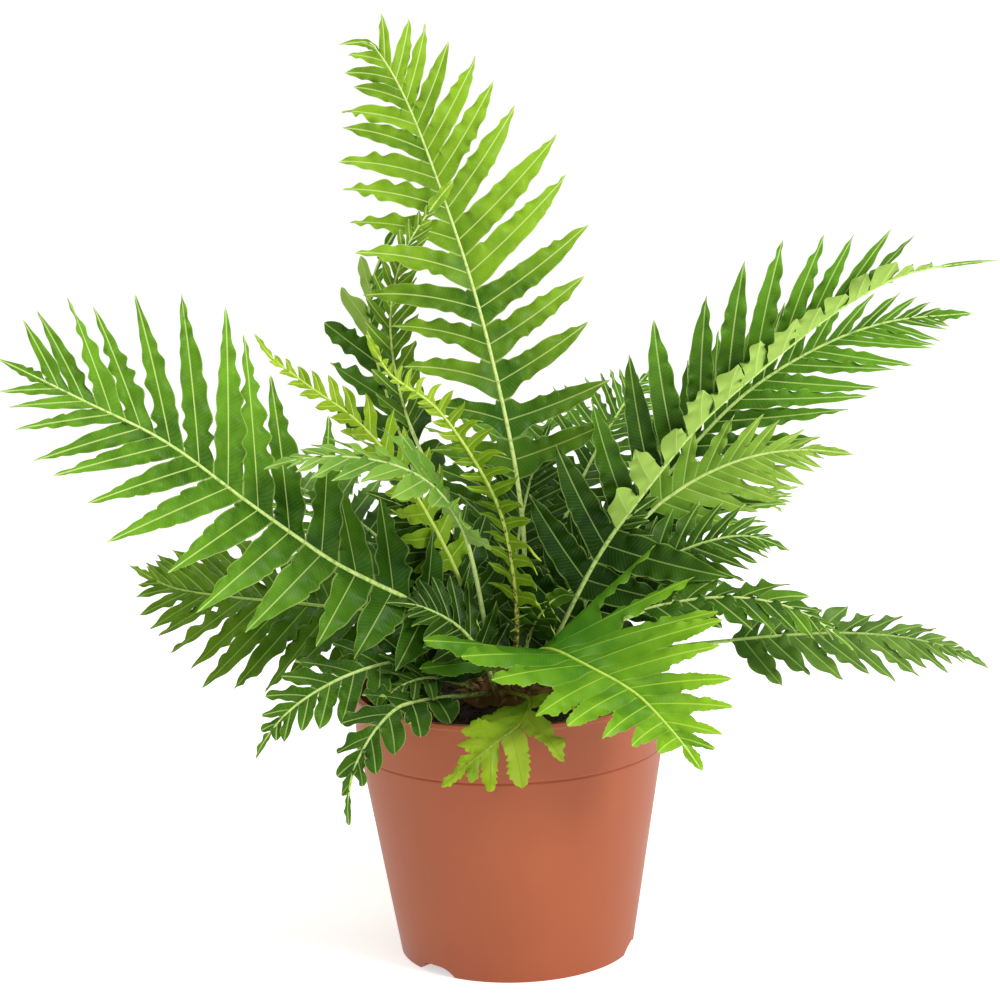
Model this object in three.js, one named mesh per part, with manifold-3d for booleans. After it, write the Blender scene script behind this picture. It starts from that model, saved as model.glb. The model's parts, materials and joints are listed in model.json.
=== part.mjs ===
// Potted silver lady fern: a moulded nursery pot, potting soil, the scaly crown of the plant
// and one solid for each frond. Millimetres, +Z up, origin at the middle of the pot's foot.
import * as THREE from "three";
import { mergeVertices } from "three/addons/utils/BufferGeometryUtils.js";
import Module from "manifold-3d";

const wasm = await Module();
wasm.setup();

// Pot
const POT_HEIGHT = 146;
const RIM_RADIUS = 85;
const FOOT_RADIUS = 63.5;
const BAND_HEIGHT = 31;
const BAND_STEP = 1.4;
const BAND_LEAN = 1;
const WALL = 1.8;
const LIP_HEIGHT = 3;
const LIP_PROUD = 0.5;
const CORNER = 0.8;
const POT_SIDES = 44;
const NOTCH_COUNT = 3;
const NOTCH_FIRST = 226;
const NOTCH_WIDTH = 26;
const NOTCH_HEIGHT = 5;
const NOTCH_DEPTH = 12;
const NOTCH_LEAN = 2;
const NOTCH_SEGMENTS = 4;
const POT_LOOK = { colour: 0xb5603f, roughness: 0.45 };

// Soil and crown
const GAP = 0.3;
const SOIL_TOP = 131;
const SOIL_MOUND = 8;
const SOIL_ROUGH = 1.5;
const SOIL_RINGS = 4;
const SOIL_CHAMFER = 8;
const SOIL_WAVE_X = 0.31;
const SOIL_WAVE_Y = 0.37;
const SOIL_RIPPLE = { share: 0.6, x: 0.83, y: 0.71 };
const SOIL_LOOK = { colour: 0x241812, roughness: 0.95 };
const CROWN_RADIUS = 25;
const CROWN_TOP = 157;
const CROWN_FOOT = 120;
const CROWN_SIDES = 14;
const CROWN_CHAMFER = { wide: 4, high: 6 };
const CROWN_RINGS = 5;
const CROWN_LOOK = { colour: 0x4a3420, roughness: 0.9 };

// Fronds
const RIB_FOOT = { wide: 3.4, thick: 2.6 };
const RIB_TIP = { wide: 1.1, thick: 0.9 };
const TIP_LOBE = { wide: 3.2, thick: 0.8, from: 0.3, least: 16, share: 0.07 };
const BLADE = 0.7;
const LEAFLET_RINGS = [
  { at: 0.34, wide: 0.92, thick: 0.9 },
  { at: 0.7, wide: 0.7, thick: BLADE },
];
const SOCKET = 16;
const STALK_STEP = 30;
const STALK_SHORTEST = 0.2;
const SPACING = { foot: 1.1, tip: 0.5, curve: 1.7 };
const VARY = { length: 0.08, angle: 4, raise: 8, twist: 22 };
const LEAF_ROUGHNESS = 0.5;
const TIP_SHARE = 0.15;
const RISE = 1.3;
const TAPER = 1.3;
const SICKLE = 0.1;
const CLEAR = 0.3;
const BENDS = [0, 9, -9, 18, -18, 28, -28, 40, -40, 54, -54];
const TRIMS = [1, 0.75, 0.5, 0.3];
const SEED = 7;
const DRAW = { times: 16807, within: 2147483647 };

const GREEN = {
  young: 0x9acb2c,
  bright: 0x5fae1c,
  mature: 0x2f7a14,
  dark: 0x1f5a12,
  olive: 0x4c7d1c,
  grey: 0x3f7a30,
  pale: 0x86b64a,
};

// Each frond: rib = points that its midrib passes, from its foot in the crown to its tip;
// face = where its upper side looks, and turn = where it looks at the tip if it turns; bare = stalk
// without leaflets; pairs = number of pairs of leaflets. Then for the left and the right leaflets,
// as [left, right]: reach = their greatest length; open and close = their angle to the rib at the
// foot and at the tip of the blade; raise = how far they stand up out of the blade; roll = how far
// they turn about themselves; sickle = how far their tips bend towards the frond's tip, as a share
// of length. peak = where along the blade they are longest; foot and tip = share of reach at the
// lowest and the last pair; sag = how far their tips droop, as a share of length; slim = their
// width as a share of the widest that fits; lobe = length of the tip beyond the leaflets; folded =
// the share of the blade past which the right leaflets are folded over, how far they are raised
// there and their length as a share of the others.
const FRONDS = [
  {
    name: "frond_front_right",
    rib: [[8, -18, 146], [12, -32, 168], [19, -48, 177], [28, -64, 178], [40, -80, 175], [52, -91, 171],
      [66, -101, 163], [77, -108, 152], [87, -112, 140], [95, -115, 128]],
    face: [-0.2, -0.2, 0.95], turn: [-0.3, -0.9, 0.4], bare: 24, pairs: 9, reach: [80, 69],
    open: [61, 98], close: [36, 100], raise: [2, 39], roll: [24, -46], peak: 0.14, foot: 1,
    sag: 0.03, green: GREEN.bright,
  },
  {
    name: "frond_front_small",
    rib: [[-3, -20, 146], [5, -46, 153], [10, -72, 156], [6, -94, 151], [-10, -106, 142], [-24, -112, 133],
      [-36, -115, 124]],
    face: [-0.1, -0.8, 0.6], bare: 52, pairs: 5, reach: [30, 26], open: [80, 80], close: [45, 45],
    raise: [0, 0], peak: 0.3, foot: 0.9, sag: 0.2, green: GREEN.young,
  },
  {
    name: "frond_left_long",
    rib: [[-12, -8, 146], [-46, -42, 200], [-84, -66, 228], [-128, -96, 269], [-165, -120, 305],
      [-201, -138, 329], [-238, -150, 352]],
    face: [0.5, -0.7, 0.3], bare: 30, pairs: 14, reach: [76, 92], open: [88, 72], close: [24, 38],
    raise: [0, 4], sickle: [0.04, 0.04], peak: 0.5, foot: 0.42, tip: 0.34, sag: 0.05, slim: 0.95,
    lobe: 26, green: GREEN.mature,
  },
  {
    name: "frond_tall",
    rib: [[6, 7, 146], [10, 20, 230], [-7, 54, 331], [-29, 80, 407], [-51, 100, 465], [-66, 106, 488],
      [-76, 106, 493], [-84, 106, 488]],
    face: [0.1, -1, 0.35], bare: 110, pairs: 14, reach: [70, 80], open: [64, 84], close: [40, 36],
    raise: [0, 0], sickle: [-0.14, 0.14], peak: 0.4, foot: 0.7, tip: 0.26, sag: 0.06,
    green: GREEN.bright,
  },
  {
    name: "frond_right_upper",
    rib: [[12, -6, 146], [50, -12, 219], [77, -16, 256], [104, -18, 288], [136, -20, 316], [178, -20, 347],
      [210, -18, 363], [230, -16, 367], [262, -12, 369]],
    face: [0.25, -0.9, 0.2], bare: 34, pairs: 16, reach: [72, 50], open: [70, 80], close: [12, 50],
    raise: [0, 24], folded: { from: 0.2, raise: 130, reach: 0.5 }, peak: 0.45, foot: 0.8, sag: 0.04,
    slim: 0.98, lobe: 34, green: GREEN.dark,
  },
  {
    name: "frond_right_long",
    rib: [[13, 9, 146], [51, 14, 211], [87, 22, 252], [132, 30, 296], [176, 36, 321], [212, 40, 332],
      [258, 42, 335]],
    face: [-0.1, -0.95, 0.35], bare: 70, pairs: 15, reach: [50, 68], open: [60, 58], close: [20, 22],
    raise: [8, 0], peak: 0.4, foot: 0.8, sag: 0.04, slim: 0.85, green: GREEN.dark,
  },
  {
    name: "frond_right_low",
    rib: [[20, -9, 146], [70, -20, 166], [117, -26, 173], [178, -34, 177], [215, -42, 174], [234, -48, 169],
      [250, -52, 160]],
    face: [0, -0.5, 0.85], bare: 104, pairs: 11, reach: [24, 38], open: [60, 62], close: [24, 24],
    raise: [6, -6], peak: 0.4, foot: 0.9, sag: 0.06, slim: 0.9, green: GREEN.grey,
  },
  {
    name: "frond_young_front",
    rib: [[-1, -5, 146], [5, -30, 186], [2, -40, 231], [-4, -46, 256], [-18, -54, 285], [-34, -61, 309],
      [-56, -69, 328], [-66, -74, 350]],
    face: [-0.35, -0.5, 0.6], bare: 60, pairs: 19, reach: [15, 26], open: [70, 80], close: [40, 60],
    raise: [-10, 10], sickle: [0.1, -0.15], peak: 0.1, foot: 1, sag: 0, slim: 0.62,
    green: GREEN.young,
  },
  {
    name: "frond_young_left",
    rib: [[-8, -2, 146], [-24, -10, 205], [-50, -20, 262], [-75, -28, 297], [-100, -34, 318],
      [-118, -37, 334], [-126, -38, 346]],
    face: [0.3, -0.5, 0.7], bare: 70, pairs: 13, reach: [30, 26], open: [70, 70], close: [34, 34],
    raise: [0, 20], peak: 0.2, foot: 0.8, sag: 0.05, slim: 0.75, green: GREEN.young,
  },
  {
    name: "frond_left_low",
    rib: [[-19, -7, 146], [-45, -30, 168], [-80, -49, 168], [-111, -64, 155], [-124, -70, 143],
      [-132, -73, 130]],
    face: [-0.1, -0.7, 0.7], bare: 44, pairs: 7, reach: [30, 30], open: [70, 64], close: [36, 36],
    raise: [0, 0], peak: 0.3, foot: 0.9, sag: 0.1, green: GREEN.mature,
  },
  {
    name: "frond_front_left",
    rib: [[-10, -17, 146], [-26, -44, 152], [-42, -64, 156], [-59, -82, 156], [-74, -98, 142],
      [-82, -107, 125], [-83, -111, 104]],
    face: [-0.4, -0.7, 0.5], bare: 44, pairs: 6, reach: [26, 24], open: [66, 60], close: [36, 36],
    raise: [0, 0], peak: 0.3, foot: 0.9, sag: 0.12, green: GREEN.dark,
  },
  {
    name: "frond_right_front",
    rib: [[15, -14, 146], [48, -38, 184], [92, -47, 200], [130, -58, 202], [156, -67, 194], [177, -71, 177]],
    face: [0.2, -0.4, 0.9], bare: 82, pairs: 8, reach: [28, 30], open: [60, 60], close: [22, 22],
    raise: [0, -10], peak: 0.4, foot: 0.9, sag: 0.15, green: GREEN.mature,
  },
  {
    name: "frond_centre_left",
    rib: [[-7, -12, 146], [-17, -36, 220], [-24, -60, 250], [-38, -80, 273], [-56, -92, 285],
      [-81, -100, 291], [-100, -104, 291], [-118, -106, 287]],
    face: [0.1, -0.5, 0.8], bare: 96, pairs: 9, reach: [44, 36], open: [58, 58], close: [24, 24],
    raise: [0, 0], peak: 0.3, foot: 0.8, sag: 0.08, slim: 0.8, green: GREEN.grey,
  },
  {
    name: "frond_new_leaf",
    rib: [[4, -10, 146], [10, -14, 172], [15, -22, 186], [24, -27, 198], [34, -28, 204]],
    face: [0.2, -0.9, 0.3], bare: 34, pairs: 5, reach: [18, 18], open: [60, 60], close: [44, 44],
    raise: [20, 20], peak: 0.3, foot: 0.9, sag: 0, green: GREEN.bright,
  },
  {
    name: "frond_right_pale",
    rib: [[21, -4, 146], [41, -7, 190], [66, 2, 226], [98, 4, 252], [130, 2, 266], [160, 0, 270],
      [187, -4, 267]],
    face: [0.1, -0.9, 0.1], bare: 112, pairs: 8, reach: [34, 40], open: [56, 60], close: [22, 24],
    raise: [0, 0], peak: 0.3, foot: 0.9, sag: 0.05, lobe: 22, green: GREEN.pale,
  },
  {
    name: "frond_right_middle",
    rib: [[20, 3, 146], [56, -8, 196], [98, -16, 222], [128, -20, 228], [150, -24, 220]],
    face: [0.1, -0.7, 0.7], bare: 50, pairs: 10, reach: [36, 40], open: [62, 62], close: [28, 28],
    raise: [0, 0], peak: 0.4, foot: 0.9, sag: 0.1, green: GREEN.dark,
  },
  {
    name: "frond_upright_thin",
    rib: [[-4, 9, 146], [-28, 40, 225], [-54, 68, 290], [-60, 76, 330], [-57, 72, 356], [-48, 66, 380],
      [-34, 64, 400], [-22, 64, 414]],
    face: [0.3, -1, 0.2], bare: 150, pairs: 12, reach: [24, 24], open: [50, 50], close: [28, 28],
    raise: [20, 20], peak: 0.4, foot: 0.8, sag: 0, slim: 0.7, green: GREEN.bright,
  },
  {
    name: "frond_back_left_high",
    rib: [[-11, 8, 146], [-41, 45, 229], [-58, 90, 273], [-70, 118, 309], [-74, 134, 336], [-68, 146, 363],
      [-52, 152, 387]],
    face: [0.2, -0.9, 0.3], bare: 112, pairs: 7, reach: [42, 34], open: [58, 50], close: [20, 16],
    raise: [0, 0], peak: 0.3, foot: 0.9, sag: 0.05, green: GREEN.dark,
  },
  {
    name: "frond_left_under",
    rib: [[-19, 1, 146], [-60, 8, 182], [-105, 16, 190], [-150, 24, 194], [-184, 28, 200], [-206, 32, 212]],
    face: [0.2, -0.7, 0.6], bare: 44, pairs: 13, reach: [56, 60], open: [74, 70], close: [30, 30],
    raise: [0, 0], peak: 0.4, foot: 0.8, sag: 0.1, green: GREEN.olive,
  },
  {
    name: "frond_back_right_high",
    rib: [[8, 18, 146], [30, 60, 215], [50, 96, 250], [66, 128, 270], [80, 155, 284], [90, 176, 290]],
    face: [0, -0.8, 0.5], bare: 50, pairs: 15, reach: [62, 62], open: [76, 76], close: [30, 30],
    raise: [0, 0], peak: 0.35, foot: 0.8, sag: 0.1, green: GREEN.dark,
  },
  {
    name: "frond_inner_left",
    rib: [[-14, 2, 146], [-20, 0, 190], [-35, -8, 225], [-50, -14, 246], [-72, -22, 258]],
    face: [0.3, -0.6, 0.7], bare: 14, pairs: 10, reach: [46, 44], open: [80, 80], close: [34, 34],
    raise: [0, 0], peak: 0.3, foot: 0.8, sag: 0.1, green: GREEN.dark,
  },
  {
    name: "frond_inner_back",
    rib: [[0, 12, 146], [3, 20, 190], [10, 38, 232], [20, 58, 262], [28, 74, 278]],
    face: [0.1, -0.9, 0.4], bare: 14, pairs: 11, reach: [44, 44], open: [78, 78], close: [30, 30],
    raise: [0, 0], peak: 0.3, foot: 0.8, sag: 0.08, green: GREEN.dark,
  },
  {
    name: "frond_inner_right",
    rib: [[14, 2, 146], [28, 4, 184], [46, 2, 214], [66, -2, 236], [82, -6, 248]],
    face: [-0.2, -0.8, 0.6], bare: 14, pairs: 10, reach: [40, 44], open: [74, 74], close: [30, 30],
    raise: [0, 0], peak: 0.3, foot: 0.8, sag: 0.08, green: GREEN.dark,
  },
  {
    name: "frond_inner_front",
    rib: [[-7, -24, 146], [-13, -30, 168], [-26, -38, 188], [-46, -48, 202], [-62, -56, 206]],
    face: [0, -0.6, 0.8], bare: 16, pairs: 8, reach: [34, 34], open: [76, 76], close: [32, 32],
    raise: [0, 0], peak: 0.3, foot: 0.8, sag: 0.1, green: GREEN.dark,
  },
  {
    name: "frond_small_left",
    rib: [[-17, -13, 146], [-32, -32, 158], [-46, -48, 163], [-60, -60, 160], [-70, -68, 150]],
    face: [-0.1, -0.6, 0.8], bare: 34, pairs: 5, reach: [24, 26], open: [66, 66], close: [40, 40],
    raise: [0, 0], peak: 0.3, foot: 0.9, sag: 0.1, green: GREEN.mature,
  },
  {
    name: "frond_back",
    rib: [[-3, 20, 146], [0, 60, 205], [4, 110, 240], [10, 160, 258], [16, 205, 258], [20, 235, 250]],
    face: [0, 0, 1], bare: 18, pairs: 15, reach: [72, 72], open: [76, 76], close: [32, 32],
    raise: [8, 8], peak: 0.4, foot: 0.7, sag: 0.1, green: GREEN.mature,
  },
  {
    name: "frond_back_left",
    rib: [[-14, 16, 146], [-52, 62, 196], [-88, 104, 222], [-118, 140, 232], [-144, 172, 230],
      [-160, 194, 220]],
    face: [0, 0, 1], bare: 18, pairs: 14, reach: [70, 70], open: [76, 76], close: [32, 32],
    raise: [8, 8], peak: 0.4, foot: 0.7, sag: 0.1, green: GREEN.mature,
  },
  {
    name: "frond_back_right",
    rib: [[17, 14, 146], [54, 50, 190], [92, 88, 214], [124, 120, 222], [150, 148, 216], [166, 166, 204]],
    face: [0, 0, 1], bare: 18, pairs: 13, reach: [64, 64], open: [76, 76], close: [32, 32],
    raise: [8, 8], peak: 0.4, foot: 0.7, sag: 0.1, green: GREEN.mature,
  },
];

let draw = SEED;

// A repeatable random number from -1 to 1.
function jitter() {
  draw = (draw * DRAW.times) % DRAW.within;
  return (draw / DRAW.within) * 2 - 1;
}

const vec = ([x, y, z]) => new THREE.Vector3(x, y, z);
const radians = THREE.MathUtils.degToRad;
const lerp = THREE.MathUtils.lerp;

function facets(points, triangles) {
  const geometry = new THREE.BufferGeometry();
  const flat = points.flatMap((p) => p.toArray());
  geometry.setAttribute("position", new THREE.Float32BufferAttribute(flat, 3));
  geometry.setIndex(triangles.flat());
  return geometry;
}

function toSolid(geometry) {
  const bare = geometry.clone();
  bare.deleteAttribute("normal");
  bare.deleteAttribute("uv");
  const merged = mergeVertices(bare, 1e-4);
  const corners = merged.index.array;
  const kept = [];
  for (let k = 0; k < corners.length; k += 3) {
    const [a, b, c] = [corners[k], corners[k + 1], corners[k + 2]];
    if (a !== b && b !== c && c !== a) {
      kept.push(a, b, c);
    }
  }
  return new wasm.Manifold(new wasm.Mesh({
    numProp: 3,
    vertProperties: new Float32Array(merged.attributes.position.array),
    triVerts: new Uint32Array(kept),
  }));
}

function toGeometry(solid) {
  const { vertProperties, triVerts } = solid.getMesh();
  const geometry = new THREE.BufferGeometry();
  geometry.setAttribute("position", new THREE.BufferAttribute(new Float32Array(vertProperties), 3));
  geometry.setIndex(new THREE.BufferAttribute(new Uint32Array(triVerts), 1));
  return geometry;
}

// A profile of [radius, height] pairs turned about the pot's axis.
function turned(profile, sides) {
  const points = profile.map(([r, z]) => new THREE.Vector2(r, z));
  return new THREE.LatheGeometry(points, sides).rotateX(Math.PI / 2);
}

const bandFoot = POT_HEIGHT - BAND_HEIGHT;
const bandRadius = RIM_RADIUS - LIP_PROUD;
const wallTop = bandRadius - BAND_LEAN - BAND_STEP;
const bandInner = bandRadius - BAND_LEAN - WALL;

// The inner radius of the pot's tapering wall at a height.
function innerRadius(z) {
  return lerp(FOOT_RADIUS, wallTop, z / bandFoot) - WALL;
}

// A half-round arch through the wall and the edge of the floor, facing out at an angle.
function notchCutter(angle) {
  const half = NOTCH_WIDTH / 2;
  const arch = new THREE.Shape();
  arch.moveTo(-half, -1);
  arch.lineTo(half, -1);
  arch.bezierCurveTo(half - NOTCH_LEAN, NOTCH_HEIGHT, half / 2, NOTCH_HEIGHT, 0, NOTCH_HEIGHT);
  arch.bezierCurveTo(-half / 2, NOTCH_HEIGHT, NOTCH_LEAN - half, NOTCH_HEIGHT, -half, -1);
  const depth = 2 * NOTCH_DEPTH;
  const outline = { depth, bevelEnabled: false, curveSegments: NOTCH_SEGMENTS };
  const cutter = new THREE.ExtrudeGeometry(arch, outline);
  cutter.rotateX(Math.PI / 2);
  cutter.translate(0, NOTCH_DEPTH - FOOT_RADIUS, 0);
  return cutter.rotateZ(angle + Math.PI / 2);
}

function potSolid() {
  const profile = [
    [0, 0],
    [FOOT_RADIUS - CORNER, 0],
    [FOOT_RADIUS, CORNER],
    [wallTop, bandFoot - CORNER],
    [bandRadius - BAND_LEAN, bandFoot + CORNER],
    [bandRadius, POT_HEIGHT - LIP_HEIGHT],
    [RIM_RADIUS, POT_HEIGHT - LIP_HEIGHT + LIP_PROUD],
    [RIM_RADIUS, POT_HEIGHT - CORNER],
    [RIM_RADIUS - CORNER, POT_HEIGHT],
    [bandInner + CORNER, POT_HEIGHT],
    [bandInner, POT_HEIGHT - CORNER],
    [bandInner, bandFoot + WALL],
    [innerRadius(bandFoot - WALL), bandFoot - WALL],
    [innerRadius(WALL), WALL],
    [0, WALL],
  ];
  let solid = toSolid(turned(profile, POT_SIDES));
  for (let k = 0; k < NOTCH_COUNT; k += 1) {
    solid = solid.subtract(toSolid(notchCutter(radians(NOTCH_FIRST + (360 * k) / NOTCH_COUNT))));
  }
  return solid;
}

// Soil that fills the pot to a rough, mounded top, with a pocket for the crown.
function soilSolid() {
  const pocket = CROWN_RADIUS + GAP;
  const outer = bandInner - GAP;
  const profile = [
    [0, WALL + GAP],
    [innerRadius(WALL) - SOIL_CHAMFER, WALL + GAP],
    [innerRadius(SOIL_CHAMFER) - GAP, SOIL_CHAMFER],
    [innerRadius(bandFoot - WALL) - GAP, bandFoot - WALL],
    [outer, bandFoot + WALL + GAP],
  ];
  for (let k = 0; k <= SOIL_RINGS; k += 1) {
    const share = k / SOIL_RINGS;
    profile.push([lerp(outer, pocket, share), SOIL_TOP + SOIL_MOUND * share]);
  }
  profile.push([pocket, CROWN_FOOT - GAP], [0, CROWN_FOOT - GAP]);
  const geometry = turned(profile, POT_SIDES);
  const place = geometry.attributes.position;
  for (let k = 0; k < place.count; k += 1) {
    const [x, y, z] = [place.getX(k), place.getY(k), place.getZ(k)];
    if (z > SOIL_TOP - 1) {
      const waves = Math.sin(SOIL_WAVE_X * x) * Math.cos(SOIL_WAVE_Y * y);
      const ripple = SOIL_RIPPLE.share * Math.sin(SOIL_RIPPLE.x * x - SOIL_RIPPLE.y * y);
      place.setZ(k, z + SOIL_ROUGH * (waves + ripple));
    }
  }
  return toSolid(geometry);
}

// The closed solid of rings of four corners, each ring joined to the next.
function loftTriangles(rings, capped) {
  const triangles = [];
  const quad = (a, b, c, d) => triangles.push([a, b, c], [a, c, d]);
  for (let k = 0; k + 1 < rings.length; k += 1) {
    const [r, s] = [4 * k, 4 * k + 4];
    quad(r, s, s + 1, r + 1);
    quad(r + 1, s + 1, s + 2, r + 2);
    triangles.push([r + 2, s + 2, r + 3], [s + 2, s + 3, r + 3]);
    quad(r + 3, s + 3, s, r);
  }
  const last = 4 * (rings.length - 1);
  if (capped) {
    quad(last, last + 3, last + 2, last + 1);
  }
  quad(0, 1, 2, 3);
  return triangles;
}

function loftSolid(rings, tip, mirrored) {
  const points = rings.flat();
  const triangles = loftTriangles(rings, !tip);
  if (tip) {
    const last = points.length - 4;
    points.push(tip);
    for (let k = 0; k < 4; k += 1) {
      triangles.push([last + k, points.length - 1, last + ((k + 1) % 4)]);
    }
  }
  const facing = mirrored ? triangles.map(([a, b, c]) => [a, c, b]) : triangles;
  return toSolid(facets(points, facing));
}

// The rib's stations: place, frame and size, from the foot through the leaflets to the tip lobe.
function ribStations(frond) {
  const curve = new THREE.CatmullRomCurve3(frond.rib.map(vec), false, "centripetal");
  const length = curve.getLength();
  const lobe = frond.lobe ?? Math.max(TIP_LOBE.least, TIP_LOBE.share * length);
  const blade = length - frond.bare - lobe;
  const stalk = frond.bare - SOCKET;
  const stalkSteps = Math.ceil(stalk / STALK_STEP - STALK_SHORTEST);
  const along = [0];
  for (let k = 0; k < stalkSteps; k += 1) {
    along.push(SOCKET + (stalk * k) / stalkSteps);
  }
  const spacing = (k) => lerp(SPACING.foot, SPACING.tip, (k / frond.pairs) ** SPACING.curve);
  const weights = Array.from({ length: frond.pairs }, (_, k) => spacing(k));
  const total = weights.reduce((a, b) => a + b);
  let reached = frond.bare;
  along.push(reached);
  for (const weight of weights) {
    reached += (blade * weight) / total;
    along.push(reached);
  }
  along.push(reached + lobe * TIP_LOBE.from);
  const faceFoot = vec(frond.face);
  const faceTip = vec(frond.turn ?? frond.face);
  const stations = along.map((s, k) => {
    const u = s / length;
    const inLobe = k === along.length - 1;
    const tangent = curve.getTangentAt(u);
    const up = faceFoot.clone().lerp(faceTip, u);
    const normal = up.clone().addScaledVector(tangent, -up.dot(tangent)).normalize();
    return {
      place: curve.getPointAt(u),
      tangent,
      normal,
      side: new THREE.Vector3().crossVectors(tangent, normal),
      wide: inLobe ? TIP_LOBE.wide : lerp(RIB_FOOT.wide, RIB_TIP.wide, u),
      thick: inLobe ? TIP_LOBE.thick : lerp(RIB_FOOT.thick, RIB_TIP.thick, u),
    };
  });
  return { stations, first: stalkSteps + 1, tip: curve.getPointAt(1) };
}

// The four corners of the rib at a station: upper left, upper right, lower right, lower left.
function ribRing(station, grow = 0) {
  const corner = (side, up) => station.place.clone()
    .addScaledVector(station.side, side * (station.wide / 2 + grow))
    .addScaledVector(station.normal, up * (station.thick / 2 + grow));
  return [corner(-1, 1), corner(1, 1), corner(1, -1), corner(-1, -1)];
}

function leafletShare(frond, t) {
  if (t < frond.peak) {
    return lerp(frond.foot, 1, (t / frond.peak) ** RISE);
  }
  return lerp(1, frond.tip ?? TIP_SHARE, ((t - frond.peak) / (1 - frond.peak)) ** TAPER);
}

// One leaflet's root on the rib, with its own small variation.
function leafletPlan(frond, skeleton, k, side) {
  const [a, b] = [skeleton.stations[skeleton.first + k], skeleton.stations[skeleton.first + k + 1]];
  const [low, high] = [ribRing(a), ribRing(b)];
  const t = (k + 0.5) / frond.pairs;
  const [top, bottom, n] = side > 0 ? [1, 2, 1] : [0, 3, 0];
  const root = [low[top], high[top], high[bottom], low[bottom]];
  const centre = root.reduce((sum, p) => sum.add(p), new THREE.Vector3()).multiplyScalar(0.25);
  const tangent = a.tangent.clone().add(b.tangent).normalize();
  const normal = a.normal.clone().add(b.normal).normalize();
  const isFolded = frond.folded && side > 0 && t > frond.folded.from;
  const cut = isFolded ? frond.folded.reach : 1;
  return {
    k,
    side,
    root,
    centre,
    tangent,
    normal,
    out: new THREE.Vector3().crossVectors(tangent, normal).multiplyScalar(side),
    pitch: low[top].distanceTo(high[top]),
    length: frond.reach[n] * cut * leafletShare(frond, t) * (1 + VARY.length * jitter()),
    angle: radians(lerp(frond.open[n], frond.close[n], t) + VARY.angle * jitter()),
    raise: (isFolded ? frond.folded.raise : frond.raise[n]) + VARY.raise * jitter(),
    sickle: frond.sickle?.[n] ?? SICKLE,
    twist: radians((frond.roll?.[n] ?? 0) + VARY.twist * jitter()),
  };
}

// The leaflet's rings and tip when bent by some degrees and cut to a share of its length.
function leafletShape(frond, plan, bend, trim, grow = 0) {
  const lift = radians(plan.raise + bend);
  const length = plan.length * trim;
  const axis = plan.tangent.clone().multiplyScalar(Math.cos(plan.angle))
    .addScaledVector(plan.out, Math.sin(plan.angle) * Math.cos(lift))
    .addScaledVector(plan.normal, Math.sin(plan.angle) * Math.sin(lift));
  const across = plan.tangent.clone().addScaledVector(axis, -plan.tangent.dot(axis)).normalize();
  const upper = new THREE.Vector3().crossVectors(axis, across).multiplyScalar(plan.side);
  const at = (share) => plan.centre.clone()
    .addScaledVector(axis, length * share)
    .addScaledVector(plan.tangent, length * plan.sickle * share * share)
    .add(new THREE.Vector3(0, 0, -length * frond.sag * share * share));
  const full = plan.pitch * Math.sin(plan.angle) * (frond.slim ?? 1);
  const ring = (share, wide, thick) => {
    const turn = plan.twist * share;
    const w = across.clone().applyAxisAngle(axis, turn).multiplyScalar((full * wide) / 2 + grow);
    const m = upper.clone().applyAxisAngle(axis, turn).multiplyScalar(thick / 2 + grow);
    const middle = at(share);
    const corner = (sw, sm) => middle.clone().addScaledVector(w, sw).addScaledVector(m, sm);
    return [corner(-1, 1), corner(1, 1), corner(1, -1), corner(-1, -1)];
  };
  const rings = LEAFLET_RINGS.map((r) => ring(r.at, r.wide, r.thick));
  const root = plan.root.map((p, c) => p.clone()
    .addScaledVector(plan.tangent, c === 0 || c === 3 ? -grow : grow)
    .addScaledVector(plan.normal, c < 2 ? grow : -grow));
  return { rings: [root, ...rings], tip: at(1) };
}

// What already stands in the way: each piece with its box, its frond, pair and side.
const obstacles = [];

function addObstacle(solid, owner, k, side) {
  const { min, max } = solid.boundingBox();
  obstacles.push({ solid, owner, k, side, box: new THREE.Box3(vec(min), vec(max)) });
}

function isClear(probe, frond, plan) {
  const { min, max } = probe.boundingBox();
  const box = new THREE.Box3(vec(min), vec(max));
  return obstacles.every((o) => {
    const own = o.owner === frond.name;
    const neighbour = own && (o.side === 0 || (o.side === plan.side && Math.abs(o.k - plan.k) < 2));
    if (neighbour || !o.box.intersectsBox(box)) {
      return true;
    }
    const shared = probe.intersect(o.solid);
    const empty = shared.isEmpty();
    shared.delete();
    return empty;
  });
}

// The first bend, and then the first cut, at which a leaflet is clear of all that stands already.
function growLeaflet(frond, plan) {
  for (const trim of TRIMS) {
    for (const bend of BENDS) {
      const wide = leafletShape(frond, plan, bend, trim, CLEAR);
      const probe = loftSolid(wide.rings, wide.tip, plan.side < 0);
      const clear = isClear(probe, frond, plan);
      probe.delete();
      if (clear) {
        const shape = leafletShape(frond, plan, bend, trim);
        addObstacle(loftSolid(shape.rings, shape.tip, plan.side < 0), frond.name, plan.k, plan.side);
        return shape;
      }
    }
  }
  return null;
}

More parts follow.
